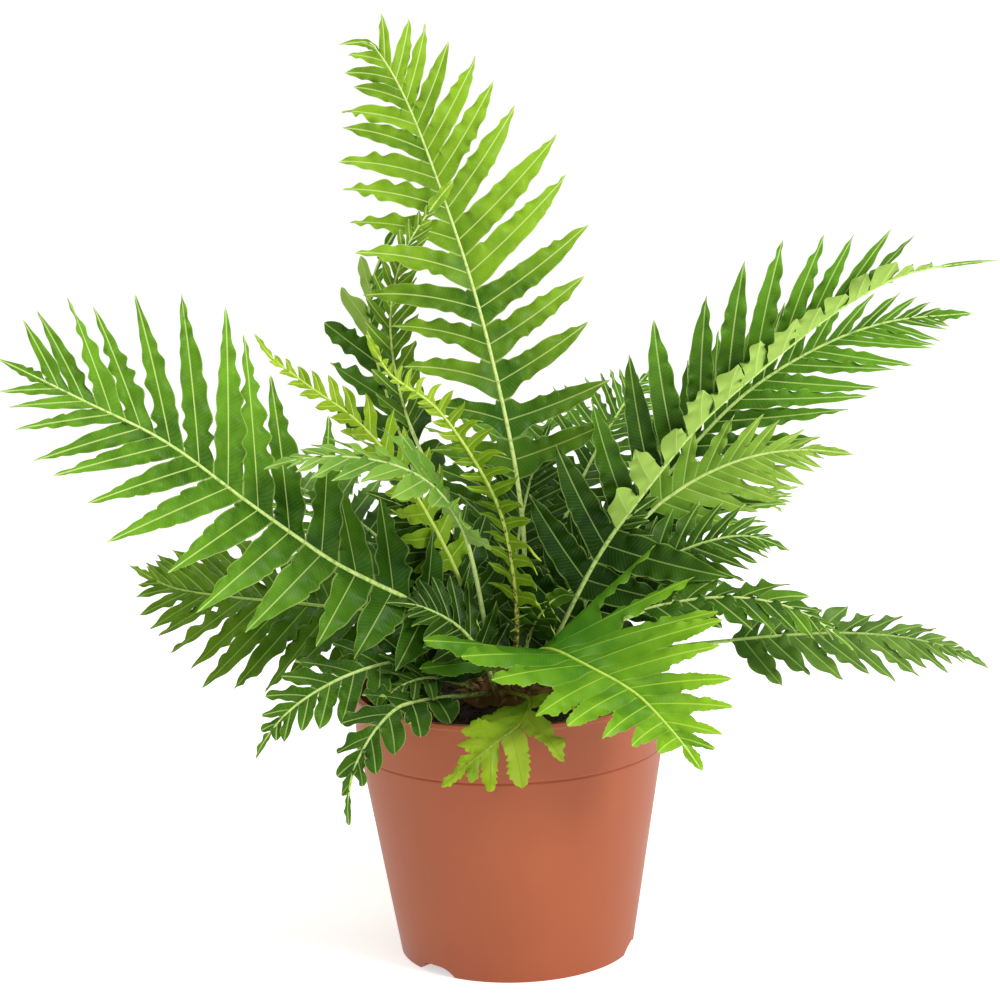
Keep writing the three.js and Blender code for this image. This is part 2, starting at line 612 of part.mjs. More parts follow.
// A frond as one closed skin: the rib's faces, with each leaflet growing out of the rib's side.
function frondGeometry(frond, skeleton) {
  const { stations, first, tip } = skeleton;
  const points = stations.flatMap((s) => ribRing(s));
  const triangles = [[0, 3, 2], [0, 2, 1]];
  const quad = (a, b, c, d) => triangles.push([a, b, c], [a, c, d]);
  for (let i = 0; i + 1 < stations.length; i += 1) {
    const [r, s] = [4 * i, 4 * i + 4];
    quad(r, r + 1, s + 1, s);
    triangles.push([r + 3, s + 3, s + 2], [r + 3, s + 2, r + 2]);
    for (const side of [1, -1]) {
      const k = i - first;
      const [top, bottom] = side > 0 ? [1, 2] : [0, 3];
      const root = [r + top, s + top, s + bottom, r + bottom];
      const plan = k >= 0 && k < frond.pairs ? leafletPlan(frond, skeleton, k, side) : null;
      const shape = plan ? growLeaflet(frond, plan) : null;
      const face = (a, b, c) => triangles.push(side > 0 ? [a, b, c] : [a, c, b]);
      if (!shape) {
        face(root[0], root[3], root[2]);
        face(root[0], root[2], root[1]);
        continue;
      }
      let from = root;
      for (const ring of shape.rings.slice(1)) {
        const to = ring.map((p) => points.push(p) - 1);
        face(from[0], to[0], to[1]);
        face(from[0], to[1], from[1]);
        face(from[1], to[1], to[2]);
        face(from[1], to[2], from[2]);
        face(from[2], to[2], from[3]);
        face(to[2], to[3], from[3]);
        face(from[3], to[3], to[0]);
        face(from[3], to[0], from[0]);
        from = to;
      }
      const end = points.push(shape.tip) - 1;
      for (let c = 0; c < 4; c += 1) {
        face(from[c], end, from[(c + 1) % 4]);
      }
    }
  }
  const last = 4 * (stations.length - 1);
  const end = points.push(tip) - 1;
  for (let c = 0; c < 4; c += 1) {
    triangles.push([last + c, last + ((c + 1) % 4), end]);
  }
  return facets(points, triangles);
}

// The crown: a blunt, scaly stub with a plain hole for each stalk.
function crownSolid(skeletons) {
  const shoulder = CROWN_TOP - CROWN_RADIUS / 2;
  const { wide, high } = CROWN_CHAMFER;
  const profile = [[0, CROWN_FOOT], [CROWN_RADIUS - wide, CROWN_FOOT], [CROWN_RADIUS, CROWN_FOOT + high]];
  for (let k = 0; k <= CROWN_RINGS; k += 1) {
    const a = (Math.PI / 2) * (k / CROWN_RINGS);
    profile.push([CROWN_RADIUS * Math.cos(a), shoulder + (CROWN_TOP - shoulder) * Math.sin(a)]);
  }
  let solid = toSolid(turned(profile, CROWN_SIDES));
  for (const { stations: [foot, next] } of skeletons) {
    const below = { ...foot, place: foot.place.clone().addScaledVector(foot.tangent, -GAP) };
    solid = solid.subtract(loftSolid([ribRing(below, GAP), ribRing(next, GAP)], null, true));
  }
  return solid;
}

const fern = new THREE.Group();

function addPart(name, geometry, { colour, roughness }) {
  const material = new THREE.MeshStandardMaterial({ color: colour, roughness, metalness: 0 });
  const mesh = new THREE.Mesh(geometry, material);
  mesh.name = name;
  fern.add(mesh);
}

const skeletons = FRONDS.map(ribStations);
const pot = potSolid();
const soil = soilSolid();
const crown = crownSolid(skeletons);

addPart("pot", toGeometry(pot), POT_LOOK);
addPart("soil", toGeometry(soil), SOIL_LOOK);
addPart("crown", toGeometry(crown), CROWN_LOOK);

addObstacle(pot, "pot", 0, 0);
addObstacle(soil, "soil", 0, 0);
addObstacle(crown, "crown", 0, 0);
skeletons.forEach(({ stations, tip }, n) => {
  for (let k = 0; k + 1 < stations.length; k += 1) {
    const rings = [ribRing(stations[k]), ribRing(stations[k + 1])];
    addObstacle(loftSolid(rings, null, true), FRONDS[n].name, k, 0);
  }
  addObstacle(loftSolid([ribRing(stations.at(-1))], tip, true), FRONDS[n].name, stations.length, 0);
});

FRONDS.forEach((frond, n) => {
  const look = { colour: frond.green, roughness: LEAF_ROUGHNESS };
  addPart(frond.name, frondGeometry(frond, skeletons[n]), look);
});

export default fern;
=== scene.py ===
"""Potted silver lady fern: every frond with its leaflets, veins and scales, in a moulded nursery pot."""

import json
import math

import bmesh
import bpy
import numpy as np
from mathutils import Matrix, Vector, noise


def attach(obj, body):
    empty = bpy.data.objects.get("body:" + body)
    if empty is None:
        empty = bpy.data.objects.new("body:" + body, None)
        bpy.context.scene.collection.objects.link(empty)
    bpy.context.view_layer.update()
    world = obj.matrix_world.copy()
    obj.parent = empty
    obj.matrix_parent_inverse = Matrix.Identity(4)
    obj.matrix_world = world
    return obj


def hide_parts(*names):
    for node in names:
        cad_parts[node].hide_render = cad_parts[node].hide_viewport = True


bl_info = {
    "name": "Potted silver lady fern",
    "version": (1, 0, 0),
    "blender": (4, 5, 0),
    "location": "3D View > Sidebar > Fern",
    "description": "Dresses the fern's fronds, crown, soil and pot, and sets its stage",
    "category": "Add Mesh",
}

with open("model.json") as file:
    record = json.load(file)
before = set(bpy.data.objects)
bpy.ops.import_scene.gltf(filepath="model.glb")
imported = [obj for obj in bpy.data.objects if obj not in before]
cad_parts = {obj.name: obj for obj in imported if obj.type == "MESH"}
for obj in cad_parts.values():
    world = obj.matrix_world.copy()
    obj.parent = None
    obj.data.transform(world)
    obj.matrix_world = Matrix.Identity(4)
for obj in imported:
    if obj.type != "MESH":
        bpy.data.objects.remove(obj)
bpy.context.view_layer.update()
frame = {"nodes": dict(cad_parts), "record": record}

MM = 0.001
WELD = 2e-6
# How far each leaflet's foot goes into the rib, as a share of the way to its middle.
ROOTED = 0.7
# Where the rings of a solid leaflet and its tip stand on its path, and how wide the inner ring is as
# a share of the leaflet's room.
RING_PLACES = (0.34, 0.7, 1.0)
RING_WIDTH = 0.92
# The middle of the tuft, from which the age of a leaflet is judged.
CROWN = (0.0, 0.0, 0.19)
# Where a frond's upper side looks, roughly: up and towards the light at the front.
UPPER = np.array([0.0, -0.7, 0.7])

# Leaf greens: a blade in painted light, in its darker patches and painted shade, older near the crown and in
# painted shade there, its underside, its midrib.
TONES = ("light", "dark", "deep", "under", "rib")
GREENS = {
    "leaf_young": ("#AACA26", "#6A8E10", "#668A10", "#94AC2E", "#C6DA66"),
    "leaf_lime": ("#AEC62C", "#5C7C10", "#5E8210", "#90A82C", "#7E921E"),
    "leaf_bright": ("#86B022", "#2E5C08", "#2C5808", "#90AE42", "#D2E48A"),
    "leaf_fresh": ("#94C622", "#286206", "#3C7616", "#7CA03C", "#BEDC58"),
    "leaf_mature": ("#689C1E", "#1E4802", "#1A4204", "#7C9C3E", "#CCE284"),
    "leaf_dark": ("#5C901C", "#1C4204", "#123004", "#98B852", "#BED87A"),
    "leaf_olive": ("#6A901E", "#305606", "#1E4406", "#6E8C34", "#9AB84C"),
    "leaf_grey": ("#6E9438", "#32581C", "#224A0C", "#7E9C50", "#AAC66A"),
    "leaf_silver": ("#8CB844", "#4A781E", "#46741C", "#88A850", "#C4D886"),
    "leaf_pale": ("#98BC42", "#5E8A1E", "#4C7818", "#9CBC5A", "#C8DC84"),
}

# How each frond's leaflets differ from the usual ones:
# green = its colours, where they aren't those of its slot; steps = rows of faces along a leaflet;
# full = width as a share of the room; blunt and tail = how round or how drawn out the tip is;
# web = share of the leaflet that is joined to its neighbours; wave and ripple = how far the margin
# moves up and down and in and out, in mm and as a share of the width; tooth = depth of its teeth;
# hook = how far its tip curls up; fold = how far it folds up along its midrib, or down if below 0;
# low and end = width of the lowest leaflets and of the end lobe as a share; uneven = how much longer
# some of its short, folded leaflets are; scaly = length of the stalk that bears brown scales, in mm;
# scales = how many there are on a square metre at its foot.
USUAL = {"steps": 24, "full": 0.92, "blunt": 0.0, "tail": 0.4, "web": 0.06, "wave": 2.0, "ripple": 0.1,
         "tooth": 0.0, "hook": 0.0, "fold": 1.0, "low": 1.0, "end": 1.0, "uneven": 0.0, "scaly": 45.0,
         "scales": 300000.0}
HABITS = {
    "frond_tall": {"steps": 48, "full": 1.02, "tail": 0.15, "web": 0.08, "wave": 2.2, "ripple": 0.07,
                   "low": 0.62, "end": 0.8},
    "frond_left_long": {"steps": 48, "full": 1.04, "tail": 0.85, "wave": 2.4, "ripple": 0.05},
    "frond_right_upper": {"steps": 48, "full": 1.22, "tail": 0.15, "wave": 2.2, "ripple": 0.07, "low": 0.75,
                          "end": 0.3, "uneven": 0.6},
    "frond_right_long": {"steps": 40, "full": 1.06, "tail": 0.5, "wave": 2.0, "ripple": 0.16},
    "frond_right_low": {"steps": 36, "full": 1.25, "tail": 0.2, "wave": 2.2, "ripple": 0.2},
    "frond_right_front": {"full": 1.2, "tail": 0.2, "wave": 2.2, "ripple": 0.2},
    "frond_right_middle": {"full": 1.1, "tail": 0.2, "wave": 2.0, "ripple": 0.2},
    "frond_front_right": {"green": "leaf_fresh", "steps": 48, "full": 0.82, "blunt": 0.4, "tail": 0.0,
                          "web": 0.42, "wave": 1.4, "ripple": 0.1, "tooth": 0.14, "fold": -1.8, "end": 1.8},
    "frond_front_small": {"green": "leaf_lime", "steps": 40, "full": 0.78, "blunt": 0.8, "tail": 0.0,
                          "web": 0.34, "wave": 1.4, "ripple": 0.16, "tooth": 0.34, "fold": -1.2, "end": 1.4},
    "frond_left_low": {"blunt": 0.6, "tail": 0.0, "web": 0.2},
    "frond_left_under": {"full": 1.2, "tail": 0.0, "wave": 2.4, "ripple": 0.2},
    "frond_front_left": {"blunt": 0.8, "tail": 0.0, "web": 0.22},
    "frond_small_left": {"blunt": 0.7, "tail": 0.0, "web": 0.2},
    "frond_centre_left": {"green": "leaf_silver", "full": 1.3, "tail": 0.2, "wave": 2.4, "ripple": 0.2},
    "frond_inner_left": {"full": 1.4, "blunt": 0.4, "tail": 0.0, "wave": 2.0},
    "frond_inner_front": {"full": 1.4, "blunt": 0.4, "tail": 0.0, "wave": 2.0},
    "frond_inner_right": {"full": 1.4, "blunt": 0.4, "tail": 0.0, "wave": 2.0},
    "frond_upright_thin": {"full": 1.2, "blunt": 0.4, "tail": 0.0, "wave": 2.4, "ripple": 0.2},
    "frond_young_front": {"hook": 0.3, "full": 1.05, "tail": 0.3, "scaly": 120.0, "scales": 1200000.0},
    "frond_young_left": {"hook": 0.15, "full": 1.05, "tail": 0.3},
    "frond_new_leaf": {"blunt": 1.0, "tail": 0.0, "hook": 0.5, "full": 2.2, "ripple": 0.2},
    "frond_back_left_high": {"blunt": 0.6, "tail": 0.0},
    "frond_right_pale": {"web": 0.3, "tail": 0.2},
}


def linear(code):
    """The linear colour of an sRGB hex code."""
    levels = (int(code[k:k + 2], 16) / 255 for k in (1, 3, 5))
    return (*(v / 12.92 if v <= 0.04045 else ((v + 0.055) / 1.055) ** 2.4 for v in levels), 1.0)


def add(tree, kind, links=None, **settings):
    """Adds a node with its settings, and fills its inputs with values, sockets or other nodes."""
    node = tree.nodes.new(kind)
    for name, value in settings.items():
        setattr(node, name, value)
    shown = [socket for socket in node.inputs if socket.enabled]
    for key, source in (links or {}).items():
        socket = shown[key] if isinstance(key, int) else next(s for s in shown if s.name == key)
        if isinstance(source, bpy.types.Node):
            source = next(s for s in source.outputs if s.enabled)
        if isinstance(source, bpy.types.NodeSocket):
            tree.links.new(source, socket)
        else:
            socket.default_value = source
    return node


def new_material(name):
    material = bpy.data.materials.new(name)
    material.use_nodes = True
    material.node_tree.nodes.clear()
    return material, material.node_tree


def finish_material(tree, shader):
    add(tree, "ShaderNodeOutputMaterial", {"Surface": shader})


def leaf_blade(kind):
    """A living fern leaflet: a waxy skin over fine close veins, paler and duller below."""
    green = dict(zip(TONES, map(linear, GREENS[kind])))
    material, tree = new_material(f"waxy_fern_blade_{kind.removeprefix('leaf_')}")
    blade = add(tree, "ShaderNodeAttribute", attribute_name="blade")
    place = add(tree, "ShaderNodeSeparateXYZ", {"Vector": blade.outputs["Vector"]})
    nature = add(tree, "ShaderNodeAttribute", attribute_name="nature")
    traits = add(tree, "ShaderNodeSeparateXYZ", {"Vector": nature.outputs["Vector"]})
    along, across, reach = place.outputs
    chance, age, sheet = traits.outputs
    spot = add(tree, "ShaderNodeTexCoord")
    # Soft patches of darker and lighter green, about 12 mm across.
    patches = add(tree, "ShaderNodeTexNoise", {"Vector": spot.outputs["Object"], "Scale": 85.0,
                                               "Detail": 3.0})
    drift = add(tree, "ShaderNodeMath", {0: chance, 1: 0.45}, operation="MULTIPLY")
    shade = add(tree, "ShaderNodeMath", {0: patches.outputs["Fac"], 1: drift}, operation="ADD")
    young = add(tree, "ShaderNodeMath", {0: age, 1: 0.75, 2: shade}, operation="MULTIPLY_ADD")
    # Blades lighten away from the rib: painted shade near the rib, between the leaflets, and painted light
    # towards their tips.
    tipward = add(tree, "ShaderNodeMath", {0: along, 1: 0.01, 2: young}, operation="MULTIPLY_ADD")
    share = add(tree, "ShaderNodeMapRange", {"Value": tipward, "From Min": 0.86, "From Max": 1.82})
    fresh = add(tree, "ShaderNodeMix", {"Factor": share, "A": green["dark"], "B": green["light"]},
                data_type="RGBA")
    # Leaflets near the crown are older and of a deeper green, and painted shade darkens them there, deep in
    # the tuft.
    depth = add(tree, "ShaderNodeVectorMath", {0: spot.outputs["Object"], 1: CROWN}, operation="DISTANCE")
    inner = add(tree, "ShaderNodeMapRange", {"Value": depth, "From Min": 0.21, "From Max": 0.05,
                                             "To Max": 0.75}, interpolation_type="SMOOTHSTEP")
    upper = add(tree, "ShaderNodeMix", {"Factor": inner, "A": fresh, "B": green["deep"]},
                data_type="RGBA")
    # Side veins leave the midrib at about 60 degrees. Real ones are about 1.2 mm apart, drawn
    # here at 2 mm so that they show.
    aside = add(tree, "ShaderNodeMath", {0: across}, operation="ABSOLUTE")
    slant = add(tree, "ShaderNodeMath", {0: aside, 1: -0.58, 2: along}, operation="MULTIPLY_ADD")
    phase = add(tree, "ShaderNodeMath", {0: slant, 1: 2 * math.pi / 2.0}, operation="MULTIPLY")
    swing = add(tree, "ShaderNodeMath", {0: phase}, operation="SINE")
    veins = add(tree, "ShaderNodeMapRange", {"Value": swing, "From Min": 0.2, "From Max": 1.0},
                interpolation_type="SMOOTHSTEP")
    faint = add(tree, "ShaderNodeMath", {0: veins, 1: 0.03}, operation="MULTIPLY")
    veined = add(tree, "ShaderNodeMix", {"Factor": faint, "A": upper, "B": green["rib"]}, data_type="RGBA")
    below = add(tree, "ShaderNodeMapRange", {"Value": sheet, "From Min": 0.25, "From Max": -0.25})
    sides = add(tree, "ShaderNodeMix", {"Factor": below, "A": veined, "B": green["under"]}, data_type="RGBA")
    # The midrib: a pale line about 0.7 mm wide. It and the pale margin are fainter near the crown, dimmed by
    # the painted shade there.
    line = add(tree, "ShaderNodeMapRange", {"Value": aside, "From Min": 0.5, "From Max": 0.16},
               interpolation_type="SMOOTHSTEP")
    shown = add(tree, "ShaderNodeMapRange", {"Value": inner, "To Min": 0.72, "To Max": 0.3})
    soft_line = add(tree, "ShaderNodeMath", {0: line, 1: shown}, operation="MULTIPLY")
    ribbed = add(tree, "ShaderNodeMix", {"Factor": soft_line, "A": sides, "B": green["rib"]},
                 data_type="RGBA")
    outward = add(tree, "ShaderNodeMath", {0: reach}, operation="ABSOLUTE")
    pale = add(tree, "ShaderNodeMath", {0: shown, 1: 0.55}, operation="MULTIPLY")
    edge = add(tree, "ShaderNodeMapRange", {"Value": outward, "From Min": 0.9, "From Max": 1.0,
                                            "To Max": pale})
    edged = add(tree, "ShaderNodeMix", {"Factor": edge, "A": ribbed, "B": green["rib"]}, data_type="RGBA")
    # Veins and midrib are pressed into the upper side, by about a tenth of a millimetre.
    grain = add(tree, "ShaderNodeTexNoise", {"Vector": spot.outputs["Object"], "Scale": 900.0, "Detail": 2.0})
    dent = add(tree, "ShaderNodeMath", {0: veins, 1: -0.1, 2: grain.outputs["Fac"]}, operation="MULTIPLY_ADD")
    relief = add(tree, "ShaderNodeMath", {0: line, 1: -1.5, 2: dent}, operation="MULTIPLY_ADD")
    bump = add(tree, "ShaderNodeBump", {"Height": relief, "Strength": 0.35, "Distance": 0.00015})
    sheen = add(tree, "ShaderNodeMapRange", {"Value": sheet, "From Min": -1.0, "From Max": 1.0,
                                             "To Min": 0.62, "To Max": 0.4})
    shader = add(tree, "ShaderNodeBsdfPrincipled", {"Base Color": edged, "Roughness": sheen, "Normal": bump,
                                                   "IOR": 1.42, "Specular IOR Level": 0.15})
    finish_material(tree, shader)
    return material


def leaf_stalk(kind):
    """The fleshy green midrib and stalk of a frond, browner towards its foot."""
    green = dict(zip(TONES, map(linear, GREENS[kind])))
    material, tree = new_material(f"fleshy_fern_stalk_{kind.removeprefix('leaf_')}")
    nature = add(tree, "ShaderNodeAttribute", attribute_name="nature")
    traits = add(tree, "ShaderNodeSeparateXYZ", {"Vector": nature.outputs["Vector"]})
    spot = add(tree, "ShaderNodeTexCoord")
    # Pale and darker flecks, about 2.4 mm across.
    streaks = add(tree, "ShaderNodeTexNoise", {"Vector": spot.outputs["Object"], "Scale": 420.0,
                                               "Detail": 3.0}).outputs["Fac"]
    pale = add(tree, "ShaderNodeMapRange", {"Value": streaks, "From Min": 0.2, "From Max": 0.5})
    flesh = add(tree, "ShaderNodeMix", {"Factor": pale, "A": green["light"], "B": green["rib"]},
                data_type="RGBA")
    foot = add(tree, "ShaderNodeMapRange", {"Value": traits.outputs[1], "From Min": 0.16, "From Max": 0.0,
                                            "To Max": 0.85})
    aged = add(tree, "ShaderNodeMix", {"Factor": foot, "A": flesh, "B": linear("#5A4322")}, data_type="RGBA")
    bump = add(tree, "ShaderNodeBump", {"Height": streaks, "Strength": 0.5, "Distance": 0.0002})
    shader = add(tree, "ShaderNodeBsdfPrincipled", {"Base Color": aged, "Roughness": 0.42, "Normal": bump,
                                                   "IOR": 1.42})
    finish_material(tree, shader)
    return material


def papery_scale():
    """The thin brown scales that cover the crown and the foot of each stalk, dry as paper."""
    material, tree = new_material("papery_brown_scale")
    spot = add(tree, "ShaderNodeTexCoord")
    tones = add(tree, "ShaderNodeTexNoise", {"Vector": spot.outputs["Object"], "Scale": 300.0, "Detail": 2.0})
    colour = add(tree, "ShaderNodeMix", {"Factor": tones.outputs["Fac"], "A": linear("#4A2E12"),
                                         "B": linear("#A0743A")}, data_type="RGBA")
    shader = add(tree, "ShaderNodeBsdfPrincipled", {"Base Color": colour, "Roughness": 0.75})
    finish_material(tree, shader)
    return material


def peat_soil():
    """Moist peat potting soil: near black, dull, with fibres and crumbs of a few millimetres."""
    material, tree = new_material("peat_potting_soil")
    spot = add(tree, "ShaderNodeTexCoord")
    crumbs = add(tree, "ShaderNodeTexNoise", {"Vector": spot.outputs["Object"], "Scale": 350.0, "Detail": 6.0,
                                              "Roughness": 0.7})
    colour = add(tree, "ShaderNodeMix", {"Factor": crumbs.outputs["Fac"], "A": linear("#120B08"),
                                         "B": linear("#4A3222")}, data_type="RGBA")
    bump = add(tree, "ShaderNodeBump", {"Height": crumbs.outputs["Fac"], "Strength": 1.0, "Distance": 0.0012})
    shader = add(tree, "ShaderNodeBsdfPrincipled", {"Base Color": colour, "Roughness": 0.92, "Normal": bump})
    finish_material(tree, shader)
    return material


def moulded_pot(shade, tint):
    """Terracotta-brown polypropylene, injection moulded: satin, with a faint orange-peel skin."""
    material, tree = new_material("moulded_satin_polypropylene")
    spot = add(tree, "ShaderNodeTexCoord")
    # The mould's fine grain, about 0.6 mm, and slow swells in the wall that bend the gloss.
    peel = add(tree, "ShaderNodeTexNoise", {"Vector": spot.outputs["Object"], "Scale": 1600.0, "Detail": 1.0})
    swell = add(tree, "ShaderNodeTexNoise", {"Vector": spot.outputs["Object"], "Scale": 22.0, "Detail": 2.0})
    colour = add(tree, "ShaderNodeMix", {"Factor": swell.outputs["Fac"], "A": shade, "B": tint},
                 data_type="RGBA")
    rough = add(tree, "ShaderNodeMapRange", {"Value": swell.outputs["Fac"], "From Min": 0.3, "From Max": 0.7,
                                             "To Min": 0.4, "To Max": 0.5})
    height = add(tree, "ShaderNodeMath", {0: swell.outputs["Fac"], 1: 6.0, 2: peel.outputs["Fac"]},
                 operation="MULTIPLY_ADD")
    bump = add(tree, "ShaderNodeBump", {"Height": height, "Strength": 0.25, "Distance": 0.0001})
    shader = add(tree, "ShaderNodeBsdfPrincipled", {"Base Color": colour, "Roughness": rough, "Normal": bump,
                                                   "IOR": 1.49, "Specular IOR Level": 0.3})
    finish_material(tree, shader)
    return material


def stage_floor():
    """A matt, seamless white studio floor."""
    material, tree = new_material("matt_studio_paper")
    spot = add(tree, "ShaderNodeTexCoord")
    tooth = add(tree, "ShaderNodeTexNoise", {"Vector": spot.outputs["Object"], "Scale": 500.0})
    bump = add(tree, "ShaderNodeBump", {"Height": tooth.outputs["Fac"], "Strength": 0.05, "Distance": 0.0002})
    shader = add(tree, "ShaderNodeBsdfPrincipled", {"Base Color": linear("#FBFBFA"), "Roughness": 0.9,
                                                   "Normal": bump, "Emission Color": linear("#FFFFFF"),
                                                   "Emission Strength": 0.57})
    finish_material(tree, shader)
    return material


def frond_nodes():
    return sorted(name for name in frame["nodes"] if name.startswith("frond_"))


def slot_of(node):
    return next(p["material_slot"] for p in frame["record"]["subparts"] if p["node"] == node)


def plain_object(name, mesh):
    piece = bpy.data.objects.new(name, mesh)
    bpy.context.scene.collection.objects.link(piece)
    return piece


def edges_of(corners):
    """The thickness and width vectors of a ring of four corners, thinner one first."""
    spans = sorted((corners[k] - corners[0] for k in (1, 2, 3)), key=np.linalg.norm)
    return spans[0], spans[1]


def unit(vector):
    return vector / np.linalg.norm(vector)


# What each leaflet carries as vectors: its path, its width at both ends and its webs.
PATHS = ("root", "reach", "bend", "wide_foot", "wide_end", "before_root", "before_reach", "before_bend",
         "behind_root", "behind_reach", "behind_bend")


class Skeleton:
    """A frond's rib and leaflets, read from its solid: every ring of the solid has four corners."""

    def __init__(self, node, habit):
        self.habit = habit
        shape = bmesh.new()
        shape.from_mesh(frame["nodes"][node].data)
        bmesh.ops.remove_doubles(shape, verts=shape.verts, dist=WELD)
        shape.verts.ensure_lookup_table()
        self.points = np.array([v.co[:] for v in shape.verts])
        self.near = [{e.other_vert(v).index for e in v.link_edges} for v in shape.verts]
        shape.free()
        tips = [k for k, others in enumerate(self.near) if len(others) == 4 and self.is_ring(others)]
        walks = {k: self.walk(k, set(), 3) for k in tips}
        leaflets = {k: w for k, w in walks.items() if [len(r) for r in w] == [4, 4, 4]}
        for tip in tips:
            others = set()
            for k, (outer, inner, _) in leaflets.items():
                if k != tip:
                    others |= {k} | outer | inner
            rings = self.walk(tip, others, None)
            if len(rings) > 4 and all(len(ring) == 4 for ring in rings):
                leaflets.pop(tip, None)
                self.read_rib(tip, rings[::-1])
                self.read_leaflets(leaflets)
                return
        raise ValueError(f"no tip found in {node}")

    def is_ring(self, four):
        """Whether four corners make a true rectangle, as those around a tip do."""
        a, b, c, d = self.points[sorted(four)]
        return min(np.linalg.norm(v) for v in (a + b - c - d, a + c - b - d, a + d - b - c)) < 2 * WELD

    def walk(self, start, barred, most):
        """Rings of neighbours, from a tip inwards."""
        seen = {start} | barred
        rings = []
        ring = {start}
        while most is None or len(rings) < most:
            ring = set().union(*(self.near[k] for k in ring)) - seen
            if not ring:
                break
            rings.append(ring)
            seen |= ring
        return rings

    def read_rib(self, tip, rings):
        corners = [self.points[sorted(ring)] for ring in rings]
        places = np.array([c.mean(axis=0) for c in corners])
        self.places = np.vstack([places, self.points[tip]])
        self.tangents = np.array([unit(t) for t in np.gradient(self.places, axis=0)])[:-1]
        self.radii = []
        normals = []
        for ring in corners:
            thick, wide = edges_of(ring)
            normals.append(unit(thick) * np.sign(thick @ UPPER))
            self.radii.append((np.linalg.norm(thick) + np.linalg.norm(wide)) / 4)
        # The last ring is the flat foot of the end lobe; the stalk is round, so it tapers on.
        self.radii[-1] = self.radii[-2] * 0.8
        self.normals = np.array(normals)
        self.sides = np.cross(self.tangents, self.normals)
        steps = np.linalg.norm(np.diff(self.places, axis=0), axis=1)
        self.along = np.concatenate([[0.0], np.cumsum(steps)])

    def read_leaflets(self, found):
        self.leaflets = []
        shares = np.array([[place, place ** 2] for place in RING_PLACES])
        for tip, (outer, inner, root) in found.items():
            feet = self.points[sorted(root)]
            centre = feet.mean(axis=0)
            nearest = int(np.argmin(np.linalg.norm(self.places[:-1] - centre, axis=1)))
            tangent = self.tangents[nearest]
            order = np.argsort(feet @ tangent)
            span = (feet[order[2:]].mean(axis=0) - feet[order[:2]].mean(axis=0)) / 2
            side = float(np.sign((centre - self.places[nearest]) @ self.sides[nearest]))
            rows = [self.points[sorted(r)].mean(axis=0) - centre for r in (inner, outer)]
            bend = np.linalg.lstsq(shares, np.array([*rows, self.points[tip] - centre]), rcond=None)[0]
            axis = unit(bend[0])
            across = unit(unit(span) - axis * (unit(span) @ axis))
            _, wide_inner = edges_of(self.points[sorted(inner)])
            _, wide_outer = edges_of(self.points[sorted(outer)])
            wide_end = unit(wide_outer) * np.sign(wide_outer @ across)
            step = (centre - self.places[nearest]) @ tangent
            reached = self.along[nearest] + step
            inward = self.places[nearest] + step * tangent - centre
            age = reached / self.along[-1]
            width = np.interp(age, (0.35, 0.75), (self.habit["low"], 1.0))
            self.leaflets.append({
                "root": centre + ROOTED * inward, "reach": bend[0], "bend": bend[1], "span": span * side,
                "wide_foot": across * side, "wide_end": wide_end * side,
                "half": width * np.linalg.norm(wide_inner) / RING_WIDTH / 2,
                "length": np.linalg.norm(bend.sum(axis=0)),
                "age": age, "side": side, "lobed": 0.0,
            })
        foot = self.places[-3]
        out = self.places[-1] - foot
        length = np.linalg.norm(out)
        half = min(0.13 * length, 3 * MM) * self.habit["end"]
        reach = self.tangents[-2] * length
        self.leaflets.append({
            "root": foot, "reach": reach, "bend": out - reach, "span": self.sides[-2] * -half,
            "wide_foot": -self.sides[-2], "wide_end": -self.sides[-1],
            "half": half, "length": length, "age": 1.0, "side": -1.0, "lobed": 1.0,
        })
        self.vary()
        self.read_neighbours()

    def vary(self):
        """Draws out the short leaflets of a folded side, each by its own share."""
        if not self.habit["uneven"]:
            return
        chances = np.random.default_rng(len(self.leaflets))
        for row in self.leaflets:
            facing = [other["length"] for other in self.leaflets
                      if other["side"] != row["side"] and abs(other["age"] - row["age"]) < 0.06]
            if facing and row["length"] < 0.75 * max(facing):
                longer = 1 + self.habit["uneven"] * chances.random()
                row["reach"], row["bend"] = row["reach"] * longer, row["bend"] * longer ** 2
                row["length"] *= longer
                row["half"] *= 0.7 + 0.5 * chances.random()

    def read_neighbours(self):
        """Half of the way from each leaflet to the ones before and behind it, for the web."""
        for row in self.leaflets:
            row["before"] = [row["span"], np.zeros(3), np.zeros(3)]
            row["behind"] = [-row["span"], np.zeros(3), np.zeros(3)]
        for side in (1.0, -1.0):
            own = [row for row in self.leaflets if row["side"] == side and not row["lobed"]]
            own.sort(key=lambda row: side * row["age"])
            for low, high in zip(own, own[1:]):
                half_way = [(high[key] - low[key]) / 2 for key in ("root", "reach", "bend")]
                if np.linalg.norm(half_way[1]) < 0.3 * low["length"]:
                    low["before"] = half_way
                    high["behind"] = [-step for step in half_way]
        for row in self.leaflets:
            for way in ("before", "behind"):
                for key, step in zip(("root", "reach", "bend"), row[way]):
                    row[f"{way}_{key}"] = step


def leaflet_points(node, skeleton, chances):
    """One point for each leaflet, which carries all that shapes it."""
    mesh = bpy.data.meshes.new(f"{node}_points")
    rows = skeleton.leaflets
    mesh.from_pydata([row["root"] for row in rows], [], [])
    for name in PATHS:
        layer = mesh.attributes.new(name, "FLOAT_VECTOR", "POINT")
        layer.data.foreach_set("vector", np.array([row[name] for row in rows], dtype=np.float32).ravel())
    for name in ("half", "length", "age", "side", "lobed"):
        layer = mesh.attributes.new(name, "FLOAT", "POINT")
        layer.data.foreach_set("value", [row[name] for row in rows])
    layer = mesh.attributes.new("chance", "FLOAT", "POINT")
    layer.data.foreach_set("value", chances.random(len(rows)))
    return plain_object(f"{node}_points", mesh)


